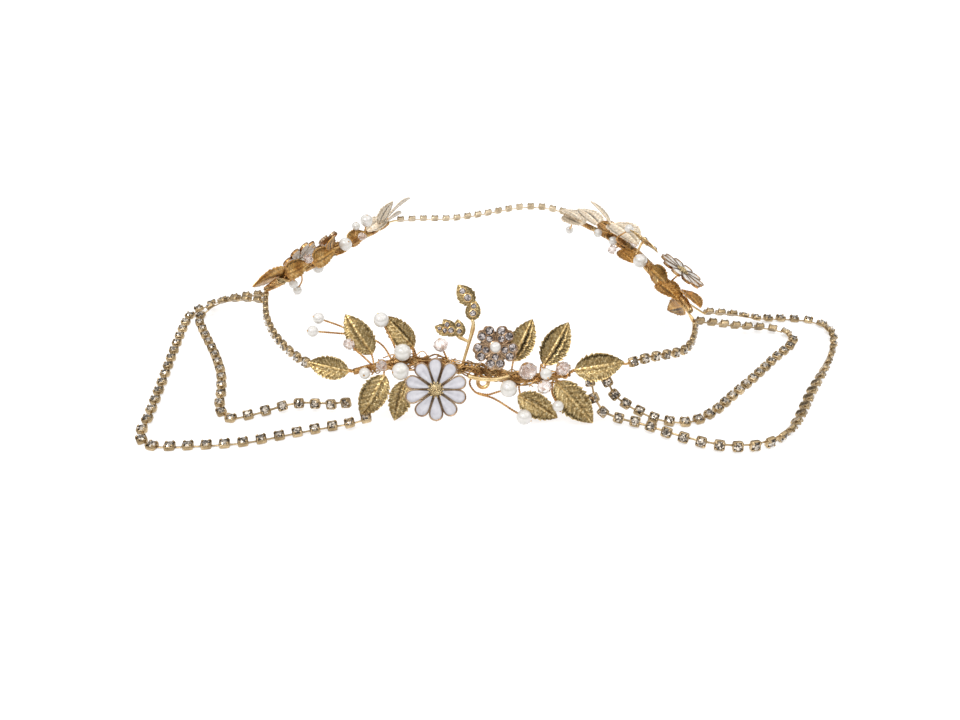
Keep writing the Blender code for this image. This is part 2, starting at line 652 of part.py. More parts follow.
def daisy_solid():
    """Ten teardrop petals round a domed heart."""
    radius = DAISY_DIAMETER / 2
    heart = DAISY_HEART / 2
    petal = [(-0.66, 0.84), (0.0, 1.0), (0.66, 0.84)]
    petals = plate(petal_outline(radius, heart * 1.25, DAISY_PETALS, petal), DAISY_THICKNESS)
    dome = turned_stone([(heart, DAISY_THICKNESS * 0.5), (heart, DAISY_THICKNESS * 1.5),
                         (heart * 0.6, DAISY_THICKNESS * 2.1)], DAISY_PETALS)
    return fused([petals, dome])


def flower_solid(stones_per_petal):
    """Five notched petals set with stones, round a pearl."""
    radius = FLOWER_DIAMETER / 2
    petal = [(-0.62, 0.86), (-0.30, 1.0), (0.0, 0.90), (0.30, 1.0), (0.62, 0.86)]
    parts = [plate(petal_outline(radius, radius * 0.42, FLOWER_PETALS, petal), FLOWER_THICKNESS)]
    places = [(-0.34, 0.74), (0.34, 0.74), (0.0, 0.45)] if stones_per_petal == 3 else [(0.0, 0.68)]
    size = FLOWER_STONE if stones_per_petal == 3 else FLOWER_STONE * 1.3
    for i in range(FLOWER_PETALS):
        middle = 2 * math.pi * i / FLOWER_PETALS - math.pi / 2
        for turn, share in places:
            angle = middle + turn * math.pi / FLOWER_PETALS
            x, y = radius * share * math.cos(angle), radius * share * math.sin(angle)
            stone = set_stone(size, FLOWER_THICKNESS * 0.5, FLOWER_THICKNESS * 2)
            parts.append(moved(stone, Matrix.Translation((x, y, 0))))
    pearl = moved(pearl_solid(FLOWER_PEARL), Matrix.Translation((0, 0, FLOWER_PEARL * 0.42)))
    parts.append(pearl)
    return fused(parts)


def lobe_solids(length):
    """A pointed plate along +X with a stone on it."""
    width = length * LOBE_WIDTH_SHARE
    shares = [(0.0, 0.3), (0.25, 0.85), (0.5, 1.0), (0.78, 0.6), (1.0, 0.08)]
    outline = [(x * length, -y * width / 2) for x, y in shares]
    outline += [(x * length, y * width / 2) for x, y in reversed(shares)]
    base, rise = SPRIG_THICKNESS * 0.5, SPRIG_THICKNESS * 2
    stone = set_stone(SPRIG_STONE, base, rise)
    return [plate(outline, SPRIG_THICKNESS), moved(stone, Matrix.Translation((length * 0.45, 0, 0)))]


def ring_solid():
    """A small closed ring lying in the XY plane."""
    around, sides = 10, 5
    middle = (RING_OUTER - RING_WIRE) / 2
    vertices = []
    for i in range(around):
        angle = 2 * math.pi * i / around
        for k in range(sides):
            turn = 2 * math.pi * k / sides
            radius = middle + RING_WIRE / 2 * math.cos(turn)
            vertices.append(Vector((radius * math.cos(angle), radius * math.sin(angle),
                                    RING_WIRE / 2 * math.sin(turn))))
    faces = []
    for i in range(around):
        low, high = i * sides, (i + 1) % around * sides
        for k in range(sides):
            n = (k + 1) % sides
            faces.append((low + k, high + k, high + n, low + n))
    return vertices, faces


# Sprays

class Spray:
    """A spray's own axes: along its stem, up its face and out of the ring."""

    def __init__(self, name, middle, outward, height, lean, reach):
        out = Vector((*outward, 0.0)).normalized()
        up = Vector((0, 0, 1))
        lean = math.radians(lean)
        self.name = name
        self.reach = reach
        x, y = middle[0] - FOOTPRINT_MIDDLE[0], middle[1] - FOOTPRINT_MIDDLE[1]
        self.middle = Vector((x * MM, y * MM, height))
        self.along = up.cross(out)
        self.up = math.cos(lean) * up - math.sin(lean) * out
        self.out = math.cos(lean) * out + math.sin(lean) * up

    def at(self, along, up, out=0.0):
        return self.middle + self.reach * (along * self.along + up * self.up + out * self.out)

    def facing(self, turn, swing=0.0):
        """The outward direction, turned to the spray's top and swung along it, in degrees."""
        turn = math.radians(turn)
        swing = math.radians(swing)
        raised = math.cos(turn) * self.out + math.sin(turn) * self.up
        return math.cos(swing) * raised + math.sin(swing) * self.along

    def matrix(self, place, x_axis=None, z_axis=None):
        """A matrix that puts a solid at the place, with its +Z out of the spray."""
        z = (z_axis or self.out).normalized()
        x = x_axis or self.along
        x = (x - z * x.dot(z)).normalized()
        y = z.cross(x)
        turn = Matrix((x, y, z)).transposed()
        return Matrix.Translation(place) @ turn.to_4x4()


def wire_to(spray, route, target, clearance, stem=None):
    """A wire along the route, from the stem's heart if there is one, that stops short of the target."""
    points = [spray.at(*p) for p in route]
    if stem:
        points[0] = nearest_on_stem(spray, stem, points[0])
    last = points[-1]
    points.append(target - (target - last).normalized() * clearance)
    return tube(points, WIRE_DIAMETER)


def add_beads(spray, kind, beads, shape, finish, stem=None):
    """Beads as nodes of their own; returns the wires that carry them."""
    wires = []
    for i, (along, up, out, diameter, route) in enumerate(beads, 1):
        centre = spray.at(along, up, out)
        wires.append(wire_to(spray, route, centre, diameter / 2 + GAP, stem))
        approach = centre - spray.at(*route[-1])
        place = spray.matrix(centre, z_axis=approach if kind == "pearl" else spray.out)
        add_object(f"{spray.name}_{kind}_{i:02d}", moved(shape(diameter), place), finish)
    return wires


def leaf_place(spray, leaf, rows):
    base = spray.at(*leaf[:3])
    tip = spray.at(*leaf[3:6])
    length = (tip - base).length
    x = (tip - base).normalized()
    face = spray.facing(leaf[6])
    z = (face - x * face.dot(x)).normalized()
    return leaf_solid(length, rows), spray.matrix(base + z * LEAF_ARCH * length, x, z)


def nearest_on_stem(spray, stem, point):
    samples = [Vector(p) for p in smooth_route([tuple(spray.at(*s[:3])) for s in stem])]
    return min(samples, key=lambda p: (p - point).length)


def leaf_stalk(spray, stem, leaf, clearance):
    """A wire from the stem's heart to a leaf's base."""
    base = spray.at(*leaf[:3])
    tip = spray.at(*leaf[3:6])
    root = nearest_on_stem(spray, stem, base)
    end = base - (base - root).normalized() * clearance
    if (base - root).length < STEM_DIAMETER / 2 + clearance:
        end = base - (tip - base).normalized() * clearance
    return tube([root, end], WIRE_DIAMETER)


def stem_tube(spray, stem, count=9):
    rows = [(*spray.at(*s[:3]), s[3]) for s in stem]
    rows = evenly_spaced(smooth_route(rows), count)
    return tube([r[:3] for r in rows], STEM_DIAMETER, 6, spray.out, [float(r[3]) for r in rows])


def flower_place(spray, flower):
    return spray.matrix(spray.at(*flower[:3]), z_axis=spray.facing(*flower[3:]))


def flower_wire(spray, stem, flower):
    """A wire from the stem to the back of a flower's plate."""
    back = spray.at(*flower[:3]) - spray.facing(*flower[3:]) * (GAP + WIRE_DIAMETER / 2)
    root = nearest_on_stem(spray, stem, back)
    return tube([root, back], WIRE_DIAMETER)


def sprig_solid(spray, stalk, twigs, lobes, depth=0.0):
    parts = [tube([spray.at(*p) for p in stalk], SPRIG_THICKNESS, sides=6)]
    parts += [tube([spray.at(*p) for p in twig], SPRIG_THICKNESS, sides=6) for twig in twigs]
    for base_along, base_up, tip_along, tip_up in lobes:
        base = spray.at(base_along, base_up, depth)
        tip = spray.at(tip_along, tip_up, depth)
        length = (tip - base).length
        place = spray.matrix(base - spray.out * SPRIG_THICKNESS / 2, x_axis=tip - base)
        parts += [moved(s, place) for s in lobe_solids(length)]
    return fused(parts)


def chain_tail(spray, stem, end, via=()):
    """A wire from the stem to a chain's end cup, which it meets in line with the chain."""
    point, away = end
    bends = [spray.at(*v) for v in via]
    root = nearest_on_stem(spray, stem, bends[0] if bends else point)
    return tube([root, *bends, point + away * TAIL_STRAIGHT, point + away * GAP], CARRIER_DIAMETER)


def build_front(ends):
    spray = Spray("front", (-15.6, -74.2), (0, -1), BAND_HEIGHT, FRONT_LEAN, FRONT_REACH)
    parts = [stem_tube(spray, FRONT_STEM, 11)]
    for i, leaf in enumerate(FRONT_LEAVES, 1):
        solid, place = leaf_place(spray, leaf, TOOTHED_LEAF)
        add_object(f"front_leaf_{i:02d}", moved(solid, place), PALE_GOLD, 25)
        parts.append(leaf_stalk(spray, FRONT_STEM, leaf, GAP + WIRE_DIAMETER / 2))
    parts += add_beads(spray, "pearl", FRONT_PEARLS, pearl_solid, PEARL)
    parts += add_beads(spray, "crystal", FRONT_CRYSTALS, crystal_solid, CRYSTAL)
    add_object("front_daisy", moved(daisy_solid(), flower_place(spray, FRONT_DAISY)), ENAMEL)
    add_object("front_flower", moved(flower_solid(3), flower_place(spray, FRONT_FLOWER)), PAVE)
    parts += [flower_wire(spray, FRONT_STEM, c) for c in (FRONT_DAISY, FRONT_FLOWER)]
    add_object("front_ring", moved(ring_solid(), spray.matrix(spray.at(*FRONT_RING))), COPPER_GOLD)
    sprig = sprig_solid(spray, FRONT_SPRIG_STALK, [FRONT_SPRIG_TWIG], FRONT_SPRIG_LOBES)
    add_object("front_sprig", sprig, GOLD)
    parts += [chain_tail(spray, FRONT_STEM, end, via) for end, via in zip(ends, FRONT_TAILS)]
    add_object("front_stem", fused(parts), COPPER_GOLD)


def build_side(spray, stem, leaves, pearls, crystals, daisy, flower, tails):
    parts = [stem_tube(spray, stem, 9)]
    for leaf in leaves:
        solid, place = leaf_place(spray, leaf, SMALL_LEAF)
        parts.append(moved(solid, place))
        parts.append(leaf_stalk(spray, stem, leaf, -WIRE_DIAMETER))
    parts += add_beads(spray, "pearl", pearls, pearl_solid, PEARL, stem)
    parts += add_beads(spray, "crystal", crystals, crystal_solid, CRYSTAL, stem)
    add_object(f"{spray.name}_daisy", moved(daisy_solid(), flower_place(spray, daisy)), ENAMEL)
    parts.append(flower_wire(spray, stem, daisy))
    if flower:
        add_object(f"{spray.name}_flower", moved(flower_solid(1), flower_place(spray, flower)), PAVE)
        parts.append(flower_wire(spray, stem, flower))
    parts += [chain_tail(spray, stem, end, via) for end, via in tails]
    add_object(f"{spray.name}_stem", fused(parts), GOLD)


def build():
    clear_scene()
    ends = {}
    for name, route in ROUTES.items():
        stations = chain_stations(route, CUPS[name])
        add_object(name, chain_solid(stations), GOLD, 20)
        ends[name] = (chain_end(stations, False), chain_end(stations, True))
    build_front([ends["band_left"][1], ends["band_right"][0]])
    left = Spray("left", LEFT_MIDDLE, LEFT_OUTWARD, SIDE_HEIGHT, SIDE_LEAN, SIDE_REACH)
    left_ends = [ends["band_left"][0], ends["band_back"][1], ends["swag_left_outer"][0],
                 ends["swag_left_inner"][0]]
    build_side(left, LEFT_STEM, LEFT_LEAVES, LEFT_PEARLS, LEFT_CRYSTALS, LEFT_DAISY, LEFT_FLOWER,
               zip(left_ends, LEFT_TAILS))
    right = Spray("right", RIGHT_MIDDLE, RIGHT_OUTWARD, SIDE_HEIGHT, SIDE_LEAN, SIDE_REACH)
    right_ends = [ends["band_right"][1], ends["band_back"][0], ends["swag_right_outer"][1],
                  ends["swag_right_inner"][1]]
    build_side(right, RIGHT_STEM, RIGHT_LEAVES, RIGHT_PEARLS, RIGHT_CRYSTALS, RIGHT_DAISY, None,
               zip(right_ends, RIGHT_TAILS))
    sprig = sprig_solid(right, RIGHT_SPRIG_STALK, [], RIGHT_SPRIG_LOBES, RIGHT_SPRIG_DEPTH)
    add_object("right_sprig", sprig, GOLD)


build()
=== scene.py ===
"""Hair chain as in the photograph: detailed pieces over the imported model, on a pale floor."""

import math
import random

import bpy
import numpy as np
from mathutils import Matrix, Vector


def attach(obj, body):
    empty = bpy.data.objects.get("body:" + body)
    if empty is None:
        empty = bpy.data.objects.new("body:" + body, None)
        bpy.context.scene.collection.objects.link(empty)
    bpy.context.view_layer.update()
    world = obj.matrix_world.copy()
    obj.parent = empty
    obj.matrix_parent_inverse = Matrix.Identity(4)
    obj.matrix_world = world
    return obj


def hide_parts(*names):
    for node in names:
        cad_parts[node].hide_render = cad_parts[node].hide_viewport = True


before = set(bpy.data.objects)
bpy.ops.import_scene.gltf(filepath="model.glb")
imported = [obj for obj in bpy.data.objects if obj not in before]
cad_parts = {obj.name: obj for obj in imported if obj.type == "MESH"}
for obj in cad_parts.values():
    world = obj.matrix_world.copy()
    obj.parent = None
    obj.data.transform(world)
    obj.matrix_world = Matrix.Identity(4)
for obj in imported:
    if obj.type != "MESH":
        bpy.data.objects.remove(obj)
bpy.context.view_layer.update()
chance = random.Random(11)

MM = 0.001

# Sizes and places up to the materials are those of the CAD source

# Cup chain
CUP_WIDTH = 0.0037
CUP_HEIGHT = 0.0018
CROWN_RISE = 0.0005
TABLE_SHARE = 0.62
BAR_THICKNESS = 0.0005

# Wires and stems
WIRE_DIAMETER = 0.0007
STEM_DIAMETER = 0.0026
STEM_WIDTH = 0.0048
CARRIER_DIAMETER = 0.0009
TAIL_STRAIGHT = 0.0016

# Sprays
FRONT_REACH = 0.058
SIDE_REACH = 0.060
BAND_HEIGHT = 0.0185
SIDE_HEIGHT = 0.0162
FRONT_LEAN = 28.0
SIDE_LEAN = 42.0

# Leaves
LEAF_WIDTH_SHARE = 0.56
LEAF_FOLD = 0.14
LEAF_ARCH = 0.05

# Beads
PEARL_LARGE = 0.0063
PEARL_MIDDLE = 0.0056
PEARL_SMALL = 0.0042
CRYSTAL_LARGE = 0.0072
CRYSTAL_MIDDLE = 0.0057
CRYSTAL_SMALL = 0.0046

# Flowers
DAISY_DIAMETER = 0.0224
DAISY_PETALS = 10
DAISY_THICKNESS = 0.0010
DAISY_HEART = 0.0046
FLOWER_DIAMETER = 0.0162
FLOWER_PETALS = 5
FLOWER_THICKNESS = 0.0009
FLOWER_PEARL = 0.0040
SPRIG_STONE = 0.0023
SPRIG_THICKNESS = 0.0009
LOBE_WIDTH_SHARE = 0.72
RING_OUTER = 0.0052
RING_WIRE = 0.0011

# Chain routes: x, y and lift above the resting height in millimetres, then the stones' turn
# in degrees, 0 for stones up and 90 for stones facing out of the ring.
FOOTPRINT_MIDDLE = (0.7, -2.1)
CUPS = {
    "band_back": 16,
    "band_left": 12,
    "band_right": 10,
    "swag_left_outer": 35,
    "swag_left_inner": 27,
    "swag_right_outer": 39,
    "swag_right_inner": 30,
}
ROUTES = {
    "band_back": [
        (34.5, 89.0, 14.6, 60), (24.0, 94.0, 15.2, 60), (12.0, 95.0, 14.8, 60), (0.0, 91.5, 14.0, 55),
        (-13.0, 86.0, 13.6, 55), (-26.0, 81.5, 13.6, 50), (-40.0, 79.8, 14.2, 45), (-52.0, 77.5, 14.6, 40),
    ],
    "band_left": [
        (-102.2, -11.2, 13.6, 80), (-100.4, -19.6, 13.4, 80), (-97.4, -30.5, 13.8, 80),
        (-92.3, -42.8, 14.2, 84), (-86.3, -53.4, 14.8, 88), (-79.6, -62.7, 15.2, 90),
        (-74.2, -68.6, 15.4, 80),
    ],
    "band_right": [
        (46.2, -69.2, 15.9, 60), (53.4, -64.1, 14.9, 80), (61.2, -58.6, 13.1, 90), (69.0, -51.6, 10.6, 90),
        (74.3, -42.8, 9.0, 90), (77.4, -34.8, 8.8, 90), (79.0, -29.0, 9.6, 80),
    ],
    "swag_left_outer": [
        (-110.4, 2.4, 7.7, 55), (-119.0, 5.0, 5.5, 50), (-130.0, 7.6, 2.3, 30), (-137.5, 6.0, 0.8, 10),
        (-141.8, 0.0, 0.0, 0), (-141.4, -12.0, 0.0, 0), (-138.6, -34.0, 0.0, 5), (-135.2, -58.0, 0.0, 10),
        (-132.4, -80.0, 0.0, 10), (-131.4, -91.0, 0.0, 5), (-126.4, -97.8, 0.0, 0), (-112.0, -98.0, 0.0, 0),
        (-93.6, -96.0, 0.0, 0), (-75.5, -90.4, 0.0, 10), (-64.5, -87.4, 0.2, 15), (-57.6, -86.4, 1.0, 10),
        (-51.2, -85.4, 2.6, 5),
    ],
    "swag_left_inner": [
        (-109.2, -3.6, 7.9, 50), (-118.0, -0.4, 6.9, 45), (-127.9, 2.2, 4.6, 30), (-134.6, 1.4, 1.6, 10),
        (-136.6, -4.4, 0.0, 0), (-130.2, -18.0, 0.0, 0), (-121.4, -34.2, 0.0, 5), (-114.2, -50.0, 0.0, 5),
        (-110.4, -62.7, 0.0, 10), (-107.6, -75.0, 0.0, 5), (-102.6, -81.4, 0.0, 0), (-93.0, -78.8, 0.0, 20),
        (-79.5, -73.6, 0.4, 70), (-66.2, -75.0, 1.0, 80), (-59.6, -76.6, 2.8, 80),
    ],
    "swag_right_outer": [
        (30.9, -74.4, 10.6, 70), (32.2, -77.8, 5.4, 60), (36.2, -81.6, 1.2, 50), (48.0, -85.6, 0.0, 40),
        (58.8, -92.6, 0.0, 70), (72.8, -98.6, 0.0, 75), (86.0, -98.8, 0.0, 85), (97.0, -93.4, 0.0, 110),
        (106.0, -83.0, 0.0, 140), (117.5, -64.6, 0.0, 150), (131.0, -43.6, 0.0, 110), (139.8, -27.0, 0.0, 60),
        (143.0, -15.0, 0.0, 25), (139.6, -6.4, 0.0, 5), (127.0, -4.0, 0.2, 0), (114.6, -5.7, 1.2, 5),
        (101.6, -8.4, 3.8, 40), (90.4, -11.6, 6.2, 50),
    ],
    "swag_right_inner": [
        (36.9, -74.4, 10.8, 70), (39.0, -76.0, 6.6, 50), (43.6, -77.4, 3.2, 30), (56.0, -83.2, 0.0, 20),
        (67.0, -83.8, 0.0, 10), (77.0, -77.4, 0.0, 5), (87.5, -66.0, 0.0, 0), (99.5, -53.0, 0.0, 0),
        (112.0, -38.6, 0.0, 0), (122.6, -27.0, 0.0, 10), (124.0, -19.6, 0.0, 30), (116.5, -15.0, 0.0, 50),
        (101.8, -17.0, 2.2, 60), (91.2, -18.8, 4.6, 60), (84.6, -19.6, 5.8, 60),
    ],
}

# Front spray. Places are shares of FRONT_REACH: along the stem, up, and out from the stem.
# A stem's points end with its width in metres, as the bundle of wires is oval.
FRONT_MIDDLE = (-15.6, -74.2)
FRONT_OUTWARD = (0, -1)
FRONT_STEM = [(along, up, 0, STEM_DIAMETER) for along, up in (
    (-0.70, -0.03), (-0.50, 0.02), (-0.28, 0.04), (-0.10, 0.01),
    (0.10, -0.02), (0.28, -0.06), (0.47, -0.07), (0.66, -0.04))]
# Leaves: base along, up, out, then tip along, up, out, then the face's turn upwards in degrees
FRONT_LEAVES = [
    (-0.585, 0.080, -0.030, -0.755, 0.330, -0.035, 0),
    (-0.325, 0.120, -0.040, -0.505, 0.320, -0.040, 0),
    (-0.730, -0.030, 0.000, -0.985, 0.030, 0.010, 0),
    (-0.500, -0.050, 0.020, -0.655, -0.315, 0.005, 0),
    (-0.370, -0.085, 0.000, -0.445, -0.338, 0.000, 0),
    (0.300, 0.035, -0.035, 0.427, 0.300, -0.045, 0),
    (0.500, 0.010, -0.035, 0.655, 0.280, -0.045, 0),
    (0.690, -0.022, 0.000, 1.000, 0.032, 0.010, 0),
    (0.335, -0.180, -0.010, 0.585, -0.322, -0.010, 0),
    (0.570, -0.095, 0.005, 0.805, -0.352, 0.010, 0),
]
# Beads: along, up, out, diameter, and the points of the wire that carries the bead
FRONT_PEARLS = [
    (-0.915, 0.305, 0.010, PEARL_SMALL, [(-0.45, 0.03, 0), (-0.55, 0.15, -0.09), (-0.78, 0.25, -0.08)]),
    (-0.945, 0.225, 0.045, PEARL_SMALL, [(-0.67, 0.20, -0.085), (-0.80, 0.21, -0.06)]),
    (-0.520, 0.295, 0.040, PEARL_MIDDLE, [(-0.41, 0.03, 0), (-0.455, 0.16, -0.01)]),
    (-0.385, 0.095, 0.070, PEARL_LARGE, [(-0.30, 0.04, 0), (-0.32, 0.12, 0.04)]),
    (-0.395, -0.020, 0.105, PEARL_LARGE, [(-0.31, 0.04, 0), (-0.30, -0.01, 0.04)]),
    (-0.620, -0.035, 0.075, PEARL_SMALL, [(-0.62, -0.01, 0)]),
    (0.500, -0.035, 0.120, PEARL_SMALL, [(0.47, -0.07, 0), (0.475, 0.02, 0.06)]),
    (0.272, -0.130, 0.080, PEARL_LARGE, [(0.07, -0.16, 0.02), (0.14, -0.172, 0.03), (0.20, -0.155, 0.04)]),
    (0.370, -0.308, 0.065, PEARL_MIDDLE, [(0.10, -0.02, 0), (0.03, -0.09, 0), (0.07, -0.16, 0.02),
                                          (0.18, -0.195, 0.035), (0.30, -0.268, 0.055)]),
    (0.580, -0.240, 0.075, PEARL_SMALL, [(0.56, -0.06, 0), (0.545, -0.15, 0.03)]),
]
FRONT_CRYSTALS = [
    (-0.720, 0.145, 0.050, CRYSTAL_SMALL, [(-0.57, 0.00, 0), (-0.64, 0.07, 0.02)]),
    (-0.515, 0.012, 0.080, CRYSTAL_SMALL, [(-0.50, 0.02, 0)]),
    (-0.150, 0.140, 0.050, CRYSTAL_MIDDLE, [(-0.09, 0.01, 0), (-0.11, 0.05, 0.02)]),
    (0.390, -0.018, 0.090, CRYSTAL_LARGE, [(0.34, -0.06, 0)]),
    (0.495, -0.120, 0.070, CRYSTAL_MIDDLE, [(0.44, -0.07, 0)]),
    (0.607, -0.005, 0.072, CRYSTAL_MIDDLE, [(0.60, -0.05, 0)]),
]
# Bends of the tails that carry the band's ends behind the end leaves
FRONT_TAILS = [[(-0.74, -0.02, -0.05), (-0.92, 0.01, -0.05)], [(0.70, -0.02, -0.05), (0.92, 0.02, -0.05)]]
# Flowers: along, up, out, then the face's turn upwards and its swing along the spray in degrees
FRONT_DAISY = (-0.178, -0.133, 0.085, 0, 0)
FRONT_FLOWER = (0.190, 0.128, 0.060, 0, 0)
FRONT_RING = (0.114, -0.097, 0.000)
# A gold crescent in front of the stem
FRONT_CRESCENT = [(0.02, -0.055, 0.03), (0.10, -0.072, 0.035), (0.19, -0.074, 0.035), (0.28, -0.056, 0.03)]
# Sprig: points of the stalk and of its twig, then lobes as base along, up, then tip along, up
FRONT_SPRIG_STALK = [(-0.012, 0.024, 0), (0.050, 0.240, 0), (0.046, 0.300, 0)]
FRONT_SPRIG_TWIG = [(0.030, 0.155, 0), (-0.020, 0.180, 0), (-0.050, 0.200, 0)]
FRONT_SPRIG_LOBES = [
    (0.046, 0.290, 0.058, 0.425), (0.050, 0.390, -0.045, 0.515),
    (-0.030, 0.185, -0.045, 0.300), (-0.060, 0.195, -0.135, 0.300), (-0.090, 0.215, -0.190, 0.255),
]

# Side sprays. Places are shares of SIDE_REACH, as along the stem, up, and out from the stem.
LEFT_MIDDLE = (-81.2, 33.5)
LEFT_OUTWARD = (-0.860, 0.510)
LEFT_STEM = [
    (0.76, 0.00, 0.000, STEM_DIAMETER),
    (0.56, 0.00, 0.004, STEM_WIDTH),
    (0.34, 0.00, 0.008, STEM_WIDTH),
    (-0.12, 0.00, 0.006, STEM_WIDTH),
    (-0.42, 0.00, 0.016, STEM_WIDTH),
    (-0.64, 0.00, 0.016, STEM_WIDTH),
    (-0.76, 0.00, 0.010, STEM_DIAMETER),
]
LEFT_LEAVES = [
    (0.500, 0.030, 0.020, 0.840, 0.010, 0.060, -8),
    (-0.590, 0.050, 0.010, -0.690, 0.260, 0.080, -50),
    (-0.720, 0.050, 0.030, -1.030, 0.150, 0.070, 6),
    (-0.700, -0.020, 0.010, -1.010, -0.020, 0.035, 6),
    (0.420, -0.070, 0.010, 0.560, -0.220, 0.050, -20),
    (0.000, -0.070, 0.000, -0.120, -0.250, 0.030, -20),
    (0.060, 0.080, 0.010, 0.140, 0.270, 0.040, -30),
    (-0.240, -0.060, 0.000, -0.360, -0.240, 0.050, -20),
    (-0.560, -0.060, 0.010, -0.700, -0.230, 0.050, -20),
    (0.560, 0.050, 0.020, 0.310, 0.060, 0.005, -62),
    (0.290, 0.070, -0.010, 0.020, 0.080, -0.005, -62),
    (0.000, -0.020, 0.000, -0.260, -0.030, 0.020, 62),
    (-0.180, 0.030, 0.010, -0.420, 0.040, 0.020, -62),
    (-0.450, 0.030, 0.020, -0.740, 0.040, 0.045, 62),
]
LEFT_PEARLS = [
    (-0.083, 0.100, -0.010, PEARL_LARGE, [(-0.09, 0.01, 0.00)]),
    (0.440, -0.090, -0.040, PEARL_SMALL, [(0.43, 0.00, -0.02)]),
    (0.390, -0.160, -0.080, PEARL_SMALL, [(0.37, -0.01, -0.02), (0.36, -0.08, -0.05)]),
    (0.136, -0.085, -0.019, PEARL_MIDDLE, [(0.14, 0.00, -0.01)]),
    (-0.313, 0.100, 0.082, PEARL_SMALL, [(-0.31, 0.01, 0.03)]),
    (-0.435, 0.117, 0.078, PEARL_LARGE, [(-0.44, 0.01, 0.03)]),
]
LEFT_CRYSTALS = [
    (0.345, 0.117, 0.019, CRYSTAL_SMALL, [(0.345, 0.01, 0.01)]),
    (-0.322, 0.070, -0.010, CRYSTAL_SMALL, [(-0.32, 0.00, 0.00)]),
]
LEFT_DAISY = (0.307, -0.017, 0.080, -9, 0)
LEFT_FLOWER = (-0.003, 0.000, 0.086, -9, 0)

RIGHT_MIDDLE = (55.0, 31.0)
RIGHT_OUTWARD = (0.930, 0.360)
RIGHT_STEM = [
    (-1.04, 0.01, 0.006, STEM_DIAMETER),
    (-0.86, 0.00, 0.038, STEM_WIDTH),
    (-0.56, 0.00, 0.064, STEM_WIDTH),
    (-0.28, 0.00, 0.096, STEM_WIDTH),
    (-0.02, 0.00, 0.107, STEM_WIDTH),
    (0.26, 0.00, 0.098, STEM_WIDTH),
    (0.52, 0.00, 0.060, STEM_DIAMETER),
    (0.92, 0.00, 0.015, STEM_DIAMETER),
]
RIGHT_LEAVES = [
    (0.620, 0.020, 0.065, 0.980, 0.030, 0.030, 40),
    (0.360, 0.060, 0.105, 0.700, 0.100, 0.110, 45),
    (0.230, 0.090, 0.165, 0.390, 0.280, 0.185, 25),
    (0.270, 0.050, 0.180, -0.166, 0.050, 0.161, 50),
    (-0.830, 0.010, 0.090, -1.080, 0.000, 0.070, 32),
    (-0.880, -0.060, 0.010, -0.660, -0.190, -0.060, -20),
    (0.300, -0.050, 0.110, 0.440, -0.250, 0.100, 20),
    (0.020, -0.060, 0.110, 0.130, -0.260, 0.120, 20),
    (-0.300, -0.060, 0.080, -0.220, -0.260, 0.110, -20),
    (-0.500, -0.060, 0.050, -0.640, -0.240, 0.050, -20),
    (0.560, 0.040, 0.040, 0.900, 0.030, -0.005, 62),
    (0.170, 0.040, 0.130, 0.420, 0.050, 0.130, 62),
    (-0.060, 0.060, 0.045, -0.280, 0.050, 0.030, 62),
    (-0.440, 0.040, 0.075, -0.700, 0.030, 0.050, -62),
    (-0.620, 0.030, 0.030, -0.900, 0.030, 0.020, 62),
]
RIGHT_PEARLS = [
    (0.940, -0.150, -0.045, PEARL_SMALL, [(0.84, 0.00, 0.02), (0.88, -0.09, -0.01)]),
    (-0.060, 0.140, 0.205, PEARL_SMALL, [(-0.04, 0.00, 0.10), (-0.05, 0.150, 0.080)]),
    (0.065, 0.078, 0.067, PEARL_SMALL, [(0.065, 0.00, 0.09)]),
    (-0.370, 0.092, 0.066, PEARL_LARGE, [(-0.37, 0.00, 0.07)]),
    (0.288, 0.074, 0.047, PEARL_SMALL, [(0.288, 0.00, 0.08)]),
]
RIGHT_CRYSTALS = [
    (0.036, 0.044, 0.014, CRYSTAL_SMALL, [(0.04, 0.00, 0.085)]),
    (0.060, -0.080, 0.185, CRYSTAL_MIDDLE, [(0.06, 0.00, 0.10)]),
]
# Bends of the tails that carry the band's and the swags' ends
RIGHT_TAILS = [[(-0.970, -0.040, 0.000)], [], [], []]
LEFT_TAILS = [[], [], [], []]
RIGHT_DAISY = (-0.680, 0.000, 0.190, 18, -12)
RIGHT_SPRIG_DEPTH = 0.190
RIGHT_SPRIG_STALK = [
    (-0.20, 0.031, 0.116), (-0.22, 0.08, RIGHT_SPRIG_DEPTH), (-0.30, 0.10, RIGHT_SPRIG_DEPTH),
]
RIGHT_SPRIG_LOBES = [
    (-0.23, 0.07, -0.14, 0.19), (-0.29, 0.09, -0.36, 0.22), (-0.29, 0.10, -0.44, 0.09),
]


def smooth_route(points, steps=14):
    """A Catmull-Rom curve through the points, as an array with the points' columns."""
    points = np.array(points, float)
    before = 2 * points[0] - points[1]
    after = 2 * points[-1] - points[-2]
    knots = np.vstack([before, points, after])
    samples = []
    for p0, p1, p2, p3 in zip(knots, knots[1:], knots[2:], knots[3:]):
        for t in np.arange(steps) / steps:
            samples.append(0.5 * (2 * p1 + (p2 - p0) * t + (2 * p0 - 5 * p1 + 4 * p2 - p3) * t ** 2
                                  + (3 * p1 - 3 * p2 + p3 - p0) * t ** 3))
    samples.append(points[-1])
    return np.array(samples)


def evenly_spaced(samples, count):
    lengths = np.linalg.norm(np.diff(samples[:, :3], axis=0), axis=1)
    along = np.concatenate([[0.0], np.cumsum(lengths)])
    stations = np.linspace(0.0, along[-1], count)
    columns = [np.interp(stations, along, samples[:, i]) for i in range(samples.shape[1])]
    return np.stack(columns, axis=1)


def cup_section():
    """Corners of a cup and its stone, across the chain: sideways, and out along the stone."""
    half = CUP_WIDTH / 2
    base = -BAR_THICKNESS / 2
    top = base + CUP_HEIGHT
    table = top + CROWN_RISE
    return [(half, base), (-half, base), (half, top), (-half, top),
            (half * TABLE_SHARE, table), (-half * TABLE_SHARE, table)]


